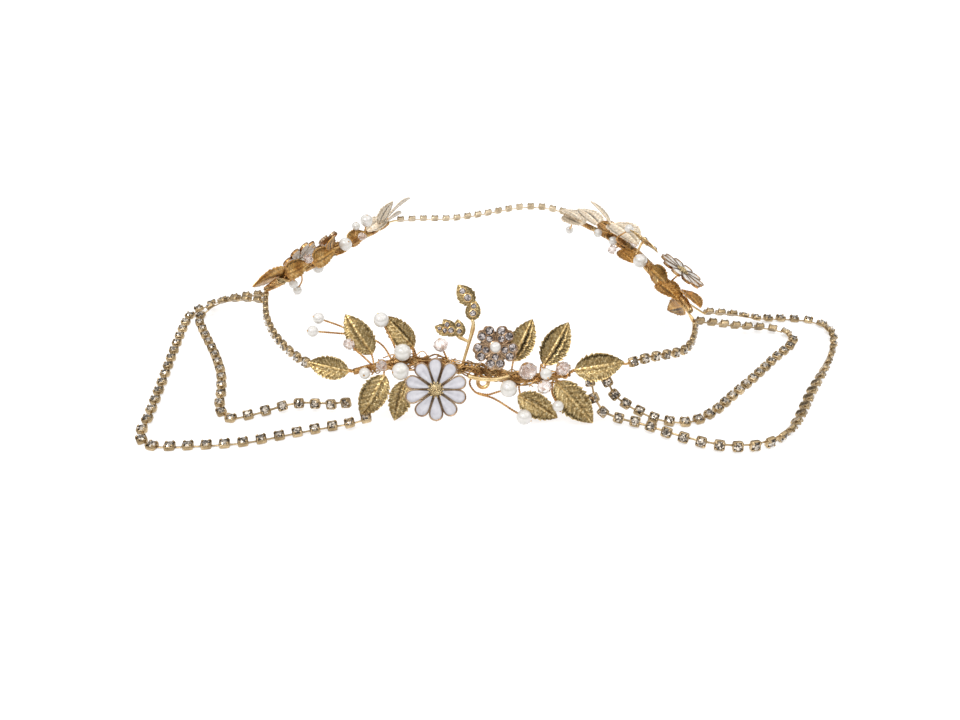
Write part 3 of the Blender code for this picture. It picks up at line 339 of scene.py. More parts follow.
def resting_height(turn):
    """How far the chain's line runs above a surface that a cup turned by this angle touches."""
    return -min(a * math.sin(turn) + b * math.cos(turn) for a, b in cup_section())


def chain_stations(route, count):
    """Evenly spaced cups along a route: centre, forward, sideways and out along the stone."""
    rows = []
    for x, y, lift, turn in route:
        turn = math.radians(turn)
        x, y = x - FOOTPRINT_MIDDLE[0], y - FOOTPRINT_MIDDLE[1]
        rows.append((x * MM, y * MM, lift * MM + resting_height(turn), turn))
    samples = smooth_route(rows)
    for row in samples:
        row[2] = max(row[2], resting_height(row[3]))
    rows = evenly_spaced(samples, count)
    stations = []
    for i, (x, y, z, turn) in enumerate(rows):
        ahead = Vector(rows[min(i + 1, count - 1)][:3])
        behind = Vector(rows[max(i - 1, 0)][:3])
        forward = (ahead - behind).normalized()
        outer = forward.cross(Vector((0, 0, 1))).normalized()
        up = outer.cross(forward)
        out = math.cos(turn) * up + math.sin(turn) * outer
        stations.append((Vector((x, y, z)), forward, out.cross(forward), out))
    return stations


def chain_end(stations, last):
    """A chain's end: the middle of its last bar, and the direction away from the chain."""
    centre, forward, _, _ = stations[-1 if last else 0]
    away = forward if last else -forward
    return centre + away * CUP_WIDTH / 2, away


class Spray:
    """A spray's own axes: along its stem, up its face and out of the ring."""

    def __init__(self, name, middle, outward, height, lean, reach):
        out = Vector((*outward, 0.0)).normalized()
        up = Vector((0, 0, 1))
        lean = math.radians(lean)
        self.name = name
        self.reach = reach
        x, y = middle[0] - FOOTPRINT_MIDDLE[0], middle[1] - FOOTPRINT_MIDDLE[1]
        self.middle = Vector((x * MM, y * MM, height))
        self.along = up.cross(out)
        self.up = math.cos(lean) * up - math.sin(lean) * out
        self.out = math.cos(lean) * out + math.sin(lean) * up

    def at(self, along, up, out=0.0):
        return self.middle + self.reach * (along * self.along + up * self.up + out * self.out)

    def facing(self, turn, swing=0.0):
        """The outward direction, turned to the spray's top and swung along it, in degrees."""
        turn = math.radians(turn)
        swing = math.radians(swing)
        raised = math.cos(turn) * self.out + math.sin(turn) * self.up
        return math.cos(swing) * raised + math.sin(swing) * self.along

    def matrix(self, place, x_axis=None, z_axis=None):
        """A matrix that puts a solid at the place, with its +Z out of the spray."""
        z = (z_axis or self.out).normalized()
        x = x_axis or self.along
        x = (x - z * x.dot(z)).normalized()
        y = z.cross(x)
        turn = Matrix((x, y, z)).transposed()
        return Matrix.Translation(place) @ turn.to_4x4()


def nearest_on_stem(spray, stem, point):
    samples = [Vector(p) for p in smooth_route([tuple(spray.at(*s[:3])) for s in stem])]
    return min(samples, key=lambda p: (p - point).length)


def flower_place(spray, flower):
    return spray.matrix(spray.at(*flower[:3]), z_axis=spray.facing(*flower[3:]))


# Gathering of faces into pieces

class Shape:
    """Vertices and faces for one piece, with a slot, a smoothness and tones for each face."""

    def __init__(self):
        self.vertices, self.faces, self.slots = [], [], []
        self.smooth, self.tones, self.places = [], [], []

    def add(self, solid, slot=0, smooth=True, place=None, tones=1.0, face_tones=None, places=None):
        """Add a solid. Tones are one number for all of it, or a list by vertex, or by face."""
        vertices, faces = solid
        first = len(self.vertices)
        points = np.array([tuple(v) for v in vertices], float).reshape(-1, 3)
        if place is not None:
            points = points @ np.array(place.to_3x3()).T + np.array(place.translation)
        self.vertices += points.tolist()
        if isinstance(tones, float):
            tones = [tones] * len(points)
        for i, face in enumerate(faces):
            self.faces.append([first + k for k in face])
            self.tones += [face_tones[i]] * len(face) if face_tones else [tones[k] for k in face]
            self.places += [places[k] if places else (0.0, 0.0) for k in face]
        self.slots += [slot] * len(faces)
        self.smooth += [smooth] * len(faces)


def make_piece(node, shape, materials):
    """A mesh object for the shape, which stands for the CAD node."""
    mesh = bpy.data.meshes.new("shown_" + node)
    mesh.from_pydata(shape.vertices, [], shape.faces)
    mesh.polygons.foreach_set("material_index", shape.slots)
    mesh.polygons.foreach_set("use_smooth", shape.smooth)
    tone = mesh.color_attributes.new("tone", "FLOAT_COLOR", "CORNER")
    tone.data.foreach_set("color", np.repeat(np.array(shape.tones)[:, None], 4, axis=1).ravel())
    layer = mesh.uv_layers.new(name="places")
    layer.data.foreach_set("uv", np.array(shape.places, float).ravel())
    for material in materials:
        mesh.materials.append(material)
    mesh.update()
    piece = bpy.data.objects.new("shown_" + node, mesh)
    bpy.context.scene.collection.objects.link(piece)
    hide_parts(node)
    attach(piece, "root")


# Materials

class Nodes:
    """Short calls for the nodes and links of a material or a world."""

    def __init__(self, owner, space="Object"):
        owner.use_nodes = True
        self.owner = owner
        self.tree = owner.node_tree
        self.shader = self.tree.nodes.get("Principled BSDF") or self.tree.nodes["Background"]
        self.coordinates = self.node("ShaderNodeTexCoord")
        self.space = self.coordinates.outputs[space]

    def node(self, kind, links=None, **values):
        """A new node; values go to its property of that name, or else to its input."""
        made = self.tree.nodes.new(kind)
        for key, value in values.items():
            if hasattr(made, key):
                setattr(made, key, value)
            else:
                made.inputs[key.replace("_", " ")].default_value = value
        for socket, source in (links or {}).items():
            self.tree.links.new(source, made.inputs[socket])
        return made

    def set(self, **values):
        for key, value in values.items():
            self.shader.inputs[key.replace("_", " ")].default_value = value

    def link(self, source, socket):
        self.tree.links.new(source, self.shader.inputs[socket])

    def ramp(self, source, stops):
        made = self.node("ShaderNodeValToRGB", {"Fac": source})
        elements = made.color_ramp.elements
        while len(elements) < len(stops):
            elements.new(0.5)
        for element, (position, colour) in zip(elements, stops):
            element.position = position
            element.color = (*colour, 1.0)
        return made.outputs["Color"]

    def noise(self, scale, detail=3.0, roughness=0.5):
        return self.node("ShaderNodeTexNoise", {"Vector": self.space}, Scale=scale, Detail=detail,
                         Roughness=roughness).outputs["Fac"]

    def tone(self):
        return self.node("ShaderNodeVertexColor", layer_name="tone").outputs["Color"]

    def times(self, first, second):
        return self.node("ShaderNodeMix", {"A": first, "B": second}, data_type="RGBA",
                         blend_type="MULTIPLY", Factor=1.0).outputs["Result"]

    def spread(self, source, low, high, start=0.0, end=1.0):
        return self.node("ShaderNodeMapRange", {"Value": source}, From_Min=start, From_Max=end,
                         To_Min=low, To_Max=high).outputs["Result"]

    def rough(self, scale, detail, low, high):
        """Roughness that wanders between two values."""
        self.link(self.spread(self.noise(scale, detail), low, high), "Roughness")

    def bump(self, source, distance, strength=0.6):
        made = self.node("ShaderNodeBump", {"Height": source}, Strength=strength, Distance=distance)
        self.link(made.outputs["Normal"], "Normal")


def plated(name, dark, middle, light, metallic=1.0):
    """Plated metal: mottled tint times the tone layer, which holds painted highlights on edges, painted shade
    in recesses and random tones, and fine handling marks.
    """
    n = Nodes(bpy.data.materials.new(name))
    mottle = n.ramp(n.noise(260.0, 4.0, 0.6), [(0.30, dark), (0.52, middle), (0.74, light)])
    n.link(n.times(mottle, n.tone()), "Base Color")
    n.rough(1500.0, 2.0, 0.20, 0.36)
    n.bump(n.noise(900.0), 0.00003)
    n.set(Metallic=metallic)
    return n.owner


def stamped_leaf_metal(name, dark, middle, light, metallic=1.0):
    """Champagne plating with a fine dotted net pressed in between the side veins. The net's colour paints
    glints on the raised dots and shade between them, and the tone layer's painted light and shade multiply
    it.
    """
    n = Nodes(bpy.data.materials.new(name))
    net = n.node("ShaderNodeTexVoronoi", {"Vector": n.coordinates.outputs["UV"]}, feature="F1", Scale=1.55)
    # Painted glints on the raised dots of the net, painted shade between them
    net_glint_and_shade = n.ramp(n.spread(net.outputs["Distance"], 0.0, 1.0), [(0.12, light), (0.36, middle), (0.86, dark)])
    mottle = n.ramp(n.noise(900.0, 3.0, 0.7), [(0.34, (0.80, 0.72, 0.58)), (0.56, (1.0, 1.0, 1.0))])
    n.link(n.times(n.times(net_glint_and_shade, mottle), n.tone()), "Base Color")
    n.rough(1300.0, 2.0, 0.24, 0.38)
    n.bump(n.spread(net.outputs["Distance"], 1.0, 0.0), 0.00007)
    n.set(Metallic=metallic)
    return n.owner


def foiled_stone(name, dark, light):
    """A foil-backed cut stone, each facet with its own tone: painted glints and dark painted reflections."""
    n = Nodes(bpy.data.materials.new(name))
    middle = tuple((a + b) / 2 for a, b in zip(dark, light))
    facets = n.ramp(n.tone(), [(0.0, dark), (0.55, middle), (1.0, light)])
    cloud = n.ramp(n.noise(900.0, 2.0), [(0.30, (0.80, 0.80, 0.82)), (0.65, (1.0, 1.0, 1.0))])
    n.link(n.times(facets, cloud), "Base Color")
    n.rough(1800.0, 1.0, 0.05, 0.16)
    n.set(Metallic=0.86, Coat_Weight=0.4, Coat_Roughness=0.03, IOR=1.55)
    return n.owner


def pearl_coat():
    """Warm white lacquer under a clear coat, a little cloudy."""
    n = Nodes(bpy.data.materials.new("pearl_coat"))
    lustre = [(0.28, (0.50, 0.48, 0.43)), (0.50, (0.58, 0.555, 0.51)), (0.74, (0.63, 0.60, 0.58))]
    n.link(n.ramp(n.noise(320.0, 3.0, 0.55), lustre), "Base Color")
    n.rough(1400.0, 2.0, 0.16, 0.26)
    n.bump(n.noise(2200.0, 2.0), 0.00001, 0.3)
    n.set(Coat_Weight=1.0, Coat_Roughness=0.06, Coat_IOR=2.1)
    return n.owner


def cut_crystal():
    """Clear, faintly rosy glass, each facet with its own tone: painted sparkle and dark painted reflections.
    """
    n = Nodes(bpy.data.materials.new("cut_crystal"))
    facets = [(0.0, (0.52, 0.36, 0.28)), (0.45, (0.90, 0.80, 0.76)), (1.0, (1.0, 0.98, 0.96))]
    n.link(n.ramp(n.tone(), facets), "Base Color")
    n.rough(900.0, 2.0, 0.02, 0.08)
    n.set(Transmission_Weight=0.72, IOR=1.54, Coat_Weight=0.5, Coat_Roughness=0.02)
    return n.owner


def enamel(name, dark, middle, light):
    """Poured enamel: even, glossy, darker where the tone layer paints shade."""
    n = Nodes(bpy.data.materials.new(name))
    mottle = n.ramp(n.noise(420.0, 4.0, 0.6), [(0.25, dark), (0.50, middle), (0.78, light)])
    n.link(n.times(mottle, n.tone()), "Base Color")
    n.rough(800.0, 2.0, 0.14, 0.30)
    n.bump(n.noise(700.0, 2.0), 0.00004, 0.4)
    n.set(Coat_Weight=0.8, Coat_Roughness=0.06)
    return n.owner


GOLD_PLATE = plated("gold_plate", (0.58, 0.37, 0.16), (0.82, 0.60, 0.30), (0.96, 0.78, 0.46))
LEAF_PLATE = stamped_leaf_metal("leaf_plate", (0.38, 0.26, 0.11), (0.69, 0.51, 0.24), (0.94, 0.83, 0.53))
WARM_LEAF = stamped_leaf_metal("warm_leaf", (0.34, 0.14, 0.02), (0.70, 0.37, 0.09), (0.98, 0.70, 0.33), 0.75)
# A pale, barely metallic leaf finish: painted reflection of the pale studio on the far side leaves
SHEEN_LEAF = stamped_leaf_metal("sheen_leaf", (0.66, 0.52, 0.36), (0.94, 0.83, 0.67), (1.0, 0.95, 0.86), 0.3)
CUP_PLATE = plated("cup_plate", (0.26, 0.18, 0.09), (0.49, 0.36, 0.20), (0.80, 0.62, 0.38))
PALE_CUP = plated("pale_cup", (0.38, 0.28, 0.16), (0.66, 0.53, 0.36), (0.92, 0.78, 0.58))
LEAF_BACK = plated("leaf_back", (0.46, 0.24, 0.07), (0.80, 0.48, 0.17), (1.0, 0.74, 0.38))
WARM_BACK = plated("warm_back", (0.36, 0.15, 0.03), (0.70, 0.38, 0.10), (0.96, 0.68, 0.32), 0.75)
PALE_PLATE = plated("pale_plate", (0.42, 0.29, 0.13), (0.70, 0.54, 0.29), (0.96, 0.80, 0.50))
COPPER_PLATE = plated("copper_plate", (0.30, 0.14, 0.05), (0.64, 0.37, 0.14), (0.95, 0.70, 0.36))
FLOWER_PLATE = plated("flower_plate", (0.27, 0.15, 0.08), (0.54, 0.37, 0.23), (0.84, 0.67, 0.48))
CHAIN_STONE = foiled_stone("chain_stone", (0.04, 0.03, 0.02), (0.85, 0.75, 0.62))
GREY_STONE = foiled_stone("grey_stone", (0.04, 0.03, 0.03), (0.72, 0.65, 0.62))
PEARL_COAT = pearl_coat()
CUT_CRYSTAL = cut_crystal()
WHITE_ENAMEL = enamel("white_enamel", (0.41, 0.40, 0.43), (0.50, 0.49, 0.52), (0.59, 0.58, 0.60))
CREAM_ENAMEL = enamel("cream_enamel", (0.52, 0.47, 0.41), (0.64, 0.60, 0.54), (0.74, 0.71, 0.67))


# Swept and turned shapes

WIRE_STEP = 0.0006
TWIST_PITCH = 0.0017
STRAND_SHARE = 0.27


def polar(radius, angle, height=0.0):
    return radius * math.cos(angle), radius * math.sin(angle), height


def circle(radius, count, height=0.0, offset=0.0):
    """Points round a level circle; the offset is a share of one step."""
    return [polar(radius, math.tau * (k + offset) / count, height) for k in range(count)]


def moved(place, x, y, z):
    return place @ Matrix.Translation((x, y, z))


def band_faces(low, high, sides):
    """Quads between two rings of vertices that start at these numbers."""
    return [(low + k, low + (k + 1) % sides, high + (k + 1) % sides, high + k) for k in range(sides)]


def tube_faces(rows, sides):
    faces = [tuple(reversed(range(sides)))]
    for i in range(rows - 1):
        faces += band_faces(i * sides, (i + 1) * sides, sides)
    return faces + [tuple(range((rows - 1) * sides, rows * sides))]


def grid_faces(rows, columns):
    corners = [i * columns + j for i in range(rows - 1) for j in range(columns - 1)]
    return [(a, a + columns, a + columns + 1, a + 1) for a in corners]


def unit_rows(rows):
    return rows / np.linalg.norm(rows, axis=1)[:, None]


def first_side(tangent, across):
    return np.array(across if across is not None else Vector(tangent).orthogonal(), float)


def carried(side, tangent):
    """The side direction, turned square to the next tangent."""
    side = side - tangent * side.dot(tangent)
    return side / np.linalg.norm(side)


def oval(point, side, other, half_width, half_height, sides):
    angles = math.tau * np.arange(sides) / sides
    return (point + half_width * np.outer(np.cos(angles), side)
            + half_height * np.outer(np.sin(angles), other))


def sweep(points, radius, sides=6, widths=None, across=None):
    """A closed tube through the points; widths makes it oval across the given direction."""
    points = np.array(points, float)
    tangents = unit_rows(np.vstack([points[1:], points[-1:]]) - np.vstack([points[:1], points[:-1]]))
    side = first_side(tangents[0], across)
    rings = []
    for i, (point, tangent) in enumerate(zip(points, tangents)):
        side = carried(side, tangent)
        half = widths[i] / 2 if widths is not None else radius
        rings.append(oval(point, side, np.cross(tangent, side), half, radius, sides))
    return np.vstack(rings), tube_faces(len(points), sides)


def loop_tube(points, radius, sides=6):
    """A closed ring of tube through points that lie about level."""
    points = np.array(points, float)
    up = np.array((0.0, 0.0, 1.0))
    tangents = np.roll(points, -1, axis=0) - np.roll(points, 1, axis=0)
    across = unit_rows(np.cross(tangents, up))
    rings = [oval(point, side, up, radius, radius, sides) for point, side in zip(points, across)]
    count = len(points)
    faces = [f for i in range(count) for f in band_faces(i * sides, (i + 1) % count * sides, sides)]
    return np.vstack(rings), faces


def polyline_length(points):
    return float(np.linalg.norm(np.diff(points, axis=0), axis=1).sum())


def along_route(points, step):
    """A smooth curve through the points with an even step, and its length."""
    points = [tuple(p) for p in points]
    samples = smooth_route(points, 24) if len(points) > 2 else np.array(points)
    length = polyline_length(samples)
    count = max(3, int(length / step) + 1)
    return evenly_spaced(samples, count), length


def helix_round(points, length, radius, pitch, start=0.0, widths=None, across=None):
    """Points that wind round a curve once in each pitch."""
    count = max(8, int(length / pitch * 9))
    path = evenly_spaced(np.array(points), count)
    halves = [radius] * count
    if widths is not None:
        halves = np.interp(np.linspace(0, 1, count), np.linspace(0, 1, len(widths)), widths) / 2
    side = first_side(path[1] - path[0], across)
    wound = []
    for i in range(count):
        tangent = path[min(i + 1, count - 1)] - path[max(i - 1, 0)]
        tangent /= np.linalg.norm(tangent)
        side = carried(side, tangent)
        angle = start + math.tau * length / pitch * i / (count - 1)
        wound.append(path[i] + halves[i] * math.cos(angle) * side
                     + radius * math.sin(angle) * np.cross(tangent, side))
    return wound


def add_twisted(shape, points, diameter):
    """Two strands of wire twisted round each other along the points."""
    path, length = along_route(points, WIRE_STEP)
    strand = diameter * STRAND_SHARE
    for k in range(2):
        wound = helix_round(path, length, diameter / 2 - strand, TWIST_PITCH, math.pi * k)
        shape.add(sweep(wound, strand))


def turned(profile, sides):
    """A closed turned shape from radius and height pairs, bottom first."""
    vertices = [point for radius, height in profile for point in circle(radius, sides, height)]
    return vertices, tube_faces(len(profile), sides)


def ball(radius, sides=28, rings=14):
    profile = [(radius * math.sin(math.pi * r / rings), -radius * math.cos(math.pi * r / rings))
               for r in range(1, rings)]
    vertices, faces = turned(profile, sides)
    vertices = [(0, 0, -radius)] + list(vertices) + [(0, 0, radius)]
    last = len(vertices) - 1
    faces = [tuple(k + 1 for k in face) for face in faces[1:-1]]
    faces += [(0, 1 + (k + 1) % sides, 1 + k) for k in range(sides)]
    faces += [(last, last - sides + k, last - sides + (k + 1) % sides) for k in range(sides)]
    return vertices, faces


# Painted glints and dark reflections: a facet's tone, dark, middle or bright at random
def facet_glint_tone():
    draw = chance.random()
    if draw < 0.34:
        return chance.uniform(0.0, 0.18)
    if draw < 0.74:
        return chance.uniform(0.35, 0.75)
    return chance.uniform(0.85, 1.0)


def brilliant(radius, girdle, top):
    """A round cut stone seen from above: table in eight fields, star, kite and girdle facets."""
    middle_height = girdle + (top - girdle) * 0.62
    vertices = [(0, 0, top)]
    for share, height, count, offset in ((0.56, top, 8, 0.0), (0.80, middle_height, 8, 0.5),
                                         (1.0, girdle, 16, 0.0), (0.94, girdle - radius * 0.12, 16, 0.0)):
        vertices += circle(radius * share, count, height, offset)
    faces = []
    for k in range(8):
        table, table_next = 1 + k, 1 + (k + 1) % 8
        middle, middle_before = 9 + k, 9 + (k - 1) % 8
        edge, edge_half, edge_next = 17 + 2 * k, 18 + 2 * k, 17 + (2 * k + 2) % 16
        faces += [(0, table, table_next), (table, middle, table_next), (table, middle_before, edge, middle),
                  (middle, edge, edge_half), (middle, edge_half, edge_next)]
    faces += band_faces(33, 17, 16)
    faces.append(tuple(reversed(range(33, 49))))
    return vertices, faces


def add_faceted(shape, solid, slot, place):
    """Add a cut stone or bead, each facet with a tone of its own: painted glints and dark painted
    reflections.
    """
    shape.add(solid, slot, False, place, face_tones=[facet_glint_tone() for _ in solid[1]])


# Cup chains

CUP_WALL = 0.00026
CUP_SIDES = 24
CUP_SQUARENESS = 6.5
PRONG_WIDTH = 0.00085
PRONG_RISE = 0.00012
BAR_WIDTHS = [0.0013, 0.0009, 0.0008, 0.0009, 0.0013]
# Painted light and shade on the shell's rings, from the middle of its back to the inside of its rim: lighter
# on the rounded foot and the rim's top, painted shade inside the rim
SHELL_TONES = [0.70, 0.66, 0.80, 0.95, 1.0, 0.86, 1.0, 1.0, 0.42]


def cup_ring(radius, height):
    """A ring of a square cup with rounded corners, whose flats are this far from its middle."""
    ring = []
    for x, y, z in circle(1.0, CUP_SIDES, height):
        reach = radius / (abs(x) ** CUP_SQUARENESS + abs(y) ** CUP_SQUARENESS) ** (1 / CUP_SQUARENESS)
        ring.append((reach * x, reach * y, z))
    return ring


def cup_shell(radius, base, rim):
    """A pressed cup: a dished back, a rounded foot, a wall and the inside of its rim."""
    rows = [(radius * 0.30, base + 0.00012), (radius * 0.55, base + 0.00010), (radius * 0.74, base),
            (radius * 0.95, base + 0.00003), (radius * 0.995, base + 0.00018),
            (radius * 0.985, base + 0.0008), (radius, rim), (radius - CUP_WALL, rim + 0.00003),
            (radius - CUP_WALL, rim - 0.0003)]
    return [v for row in rows for v in cup_ring(*row)], tube_faces(len(rows), CUP_SIDES)


def prong(radius, rim, top, angle):
    """A prong that rises from the rim and folds over the stone's edge."""
    outward = Vector(polar(1.0, angle))
    across = Vector(polar(1.0, angle + math.pi / 2))
    up = Vector((0, 0, 1))
    line = [(1.19, rim - 0.0006, 1.0), (1.18, rim, 1.0), (1.08, top - 0.0002, 0.9),
            (0.92, top - 0.00002, 0.72), (0.78, top - 0.00006, 0.45)]
    vertices = []
    for reach, height, share in line:
        middle = outward * radius * reach + up * height
        inner = middle - outward * CUP_WALL - up * CUP_WALL * (0.0 if height < top - 0.0003 else 0.9)
        half = across * PRONG_WIDTH / 2 * share
        vertices += [middle - half, middle + half, inner + half, inner - half]
    return vertices, [tuple(reversed(face)) for face in tube_faces(len(line), 4)]


def build_chain(name, stations):
    shape = Shape()
    low = -BAR_THICKNESS / 2
    radius = CUP_WIDTH / 2
    rim = low + CUP_HEIGHT * 0.90
    top = low + CUP_HEIGHT + CROWN_RISE * 0.85
    shell = cup_shell(radius, low, rim)
    shell_tones = [tone for tone in SHELL_TONES for _ in range(CUP_SIDES)]
    prongs = [prong(radius, rim, top + PRONG_RISE, math.radians(45 + 90 * k)) for k in range(4)]
    seat = turned([(radius * 0.86, rim - 0.0003), (radius, rim - 0.00005)], 24)
    previous = None
    for centre, forward, sideways, out in stations:
        jitter = math.radians(chance.uniform(-4, 4))
        x = math.cos(jitter) * forward + math.sin(jitter) * sideways
        place = Matrix.Translation(centre) @ Matrix((x, out.cross(x), out)).transposed().to_4x4()
        shape.add(shell, 0, True, place, tones=shell_tones)
        for solid in prongs:
            shape.add(solid, 0, True, place)
        spin = place @ Matrix.Rotation(chance.uniform(0, math.tau), 4, "Z")
        add_faceted(shape, brilliant(radius * 0.90, rim - 0.00008, top), 1, spin)
        # The seat under the stone is darker: painted shade
        shape.add(seat, 0, True, place, tones=0.5)
        if previous is not None:
            inset = (centre - previous).normalized() * radius * 0.8
            start, end = previous + inset, centre - inset
            bar = [start.lerp(end, share) for share in (0.0, 0.18, 0.5, 0.82, 1.0)]
            shape.add(sweep(bar, BAR_THICKNESS * 0.52, 8, BAR_WIDTHS, sideways))
        previous = centre
    make_piece(name, shape, [PALE_CUP if name == "band_back" else CUP_PLATE, CHAIN_STONE])


# Leaves

LEAF_OUTLINE = [(0.0, 0.10), (0.06, 0.44), (0.15, 0.74), (0.27, 0.94), (0.40, 1.00), (0.55, 0.97),
                (0.70, 0.80), (0.83, 0.54), (0.93, 0.27), (1.0, 0.03)]
LEAF_PLATE_DEPTH = 0.00034
LEAF_TEETH = 10
LEAF_VEINS = 9
# Rows and columns of a leaf's mesh
FRONT_GRID = (84, 41)
SIDE_GRID = (60, 25)
LOBE_GRID = (34, 17)


def bell(distance, width, power=2):
    """1 at no distance, falling to nothing past the width."""
    return math.exp(-(distance / width) ** power)


def stamped_leaf(length, grid, teeth, veins, width_share, style):
    """A stamped leaf along +X: serrated edge, midrib, curved side veins and a rolled rim, with painted
    highlights and painted shade in its tones.
    """
    rows, columns = grid
    seed = chance.uniform(0, math.tau)
    half = length * width_share / 2
    stops, shares = zip(*LEAF_OUTLINE)
    vertices, tones, places = [], [], []
    lean, depth, rim_shade_strength = style
    for i in range(rows):
        u = i / (rows - 1)
        width = float(np.interp(u, stops, shares))
        arch = math.sin(math.pi * u)
        saw = (u * teeth) % 1.0
        bite = 0.12 + 0.10 * math.sin(5.3 * int(u * teeth) + length * 900)
        for j in range(columns):
            v = 2 * j / (columns - 1) - 1
            edge = abs(v)
            serration = 1 + bite * (saw - 0.5) * edge ** 5 * (1 if 0.04 < u < 0.97 else 0)
            y = v * half * width * serration
            reach = abs(y)
            phase = (u - 0.24 * (reach / half) ** 1.2) * veins
            gap = abs(phase - round(phase)) / veins * length
            crumple = math.sin(47 * u + 3 * v + seed) * math.sin(83 * u + 2 * seed)
            # Raised lines: side veins, midrib and rolled rim
            vein = bell(gap, 0.010 * length) * (1 - edge ** 8)
            rib = bell(reach, 0.020 * length) * (1 - 0.6 * u)
            hem = bell(1 - edge, 0.05)
            ripple = crumple * edge ** 3
            # Painted shade: beside the midrib, where the leaf also dips, halfway out, and along the far rim
            trough = bell(v * lean - 0.22 - 0.06 * crumple, 0.13, 4) * arch ** 0.4
            second = 0.9 * bell(v * lean - 0.58 - 0.10 * crumple, 0.08, 4) * arch ** 0.7
            shade = bell(v * lean + 0.80 + 0.10 * crumple, 0.10, 4) * arch ** 0.3
            rim_shade_spots = max(0.0, math.sin(math.tau * u * teeth * 2 + 4 * v)) * bell(edge - 0.80, 0.12)
            height = LEAF_FOLD * reach - LEAF_ARCH * length * (2 * u - 1) ** 2
            height += length * (0.022 * rib + 0.006 * vein + 0.010 * hem + 0.010 * ripple - 0.020 * trough)
            vertices.append((u * length, y, height))
            # Painted shade from the folds, the ripple's dips and dark spots near the rim; painted highlights
            # on the midrib, the rim and the veins
            fold_shade = max(0.03, 1 - depth * (trough + second * (depth > 0.8)) - rim_shade_strength * shade)
            bright = 0.85 * max(rib * 0.7, hem * (0.65 + 0.35 * crumple)) + 0.42 * vein * fold_shade
            shaded_tone = 0.80 * fold_shade * (1 - 0.6 * max(0.0, -ripple)) * (1 - 0.75 * rim_shade_spots)
            tones.append(min(1.3, shaded_tone + bright))
            places.append((u * length / MM, y / MM))
    count = len(vertices)
    vertices += [(x, y, z - LEAF_PLATE_DEPTH) for x, y, z in vertices]
    # The underside and rim repeat the tones darker: painted shade
    tones += [0.75 * t for t in tones]
    places += places
    top = grid_faces(rows, columns)
    under = [(count + a, count + d, count + c, count + b) for a, b, c, d in top]
    last = count - columns
    border = [*range(columns), *range(2 * columns - 1, count, columns), *range(count - 2, last, -1),
              *range(last, 0, -columns)]
    rim = [(p, q, count + q, count + p) for p, q in zip(border, border[1:] + border[:1])]
    return vertices, top, under + rim, tones, places


# Leaves' painted shade in their folds: side of the midrib, then how dark the shade is on that side and along
# the far rim
LEAF_STYLES = [(1, 0.55, 0.30), (-1, 0.80, 0.60), (1, 0.25, 0.20), (1, 0.45, 0.50), (-1, 0.60, 0.35),
               (-1, 0.97, 0.40), (-1, 0.95, 0.80), (-1, 0.25, 0.75), (1, 0.50, 0.60), (1, 0.40, 0.70)]


def leaf_matrix(spray, leaf):
    base = spray.at(*leaf[:3])
    tip = spray.at(*leaf[3:6])
    length = (tip - base).length
    x = (tip - base).normalized()
    face = spray.facing(leaf[6])
    z = (face - x * face.dot(x)).normalized()
    return length, spray.matrix(base + z * LEAF_ARCH * length, x, z)


def add_stamped(shape, place, stamped, slots):
    """Add a stamped leaf, its front in one finish, its back and rim in another."""
    vertices, top, rest, tones, places = stamped
    for faces, slot in zip((top, rest), slots):
        shape.add((vertices, faces), slot, True, place, tones=tones, places=places)


def add_leaf(shape, spray, leaf, grid, slots, style):
    length, place = leaf_matrix(spray, leaf)
    stamped = stamped_leaf(length, grid, LEAF_TEETH, LEAF_VEINS, LEAF_WIDTH_SHARE, style)
    add_stamped(shape, place, stamped, slots)


# Beads

# How deep a wire's end or a cap sits in its bead
BEAD_SINK = 0.0001


def build_pearl(node, centre, diameter, approach):
    shape = Shape()
    half = diameter / 2
    place = Matrix.Translation(centre) @ approach.to_track_quat("Z", "Y").to_matrix().to_4x4()
    shape.add(ball(half), 0, True, place)
    cap = [(0.0003, -half - 0.00012), (0.0005, -half + 0.00002), (0.00046, -half + 0.0003)]
    shape.add(turned(cap, 12), 1, True, place)
    shape.add(ball(0.00038, 12, 6), 1, True, moved(place, 0, 0, half - BEAD_SINK))
    make_piece(node, shape, [PEARL_COAT, COPPER_PLATE])


def rondelle(radius, sides=12):
    """A faceted bead with small flat ends and two belts of triangular and kite facets."""
    vertices = []
    for share, height, offset in ((0.38, -0.80, 0.0), (0.78, -0.50, 0.5), (1.0, 0.0, 0.0),
                                  (0.78, 0.50, 0.5), (0.38, 0.80, 0.0)):
        vertices += circle(radius * share, sides, radius * height, offset)
    faces = [tuple(reversed(range(sides)))]
    for level in range(4):
        for a, b, c, d in band_faces(level * sides, (level + 1) * sides, sides):
            faces += [(a, b, d), (b, c, d)] if level % 2 == 0 else [(a, c, d), (a, b, c)]
    faces.append(tuple(range(4 * sides, 5 * sides)))
    return vertices, faces


def build_crystal(node, spray, centre, diameter):
    shape = Shape()
    axis = spray.along * chance.uniform(-1, 1) + spray.up * chance.uniform(0.4, 1) + spray.out * 0.35
    place = spray.matrix(centre, x_axis=spray.out, z_axis=axis)
    add_faceted(shape, rondelle(diameter / 2), 0, place)
    end = turned([(0.0005, 0.0), (0.0005, 0.00025), (0.00025, 0.0004)], 10)
    for turn in (math.pi, 0.0):
        seat = place @ Matrix.Rotation(turn, 4, "X")
        shape.add(end, 1, True, moved(seat, 0, 0, diameter * 0.40 - BEAD_SINK))
    make_piece(node, shape, [CUT_CRYSTAL, COPPER_PLATE])


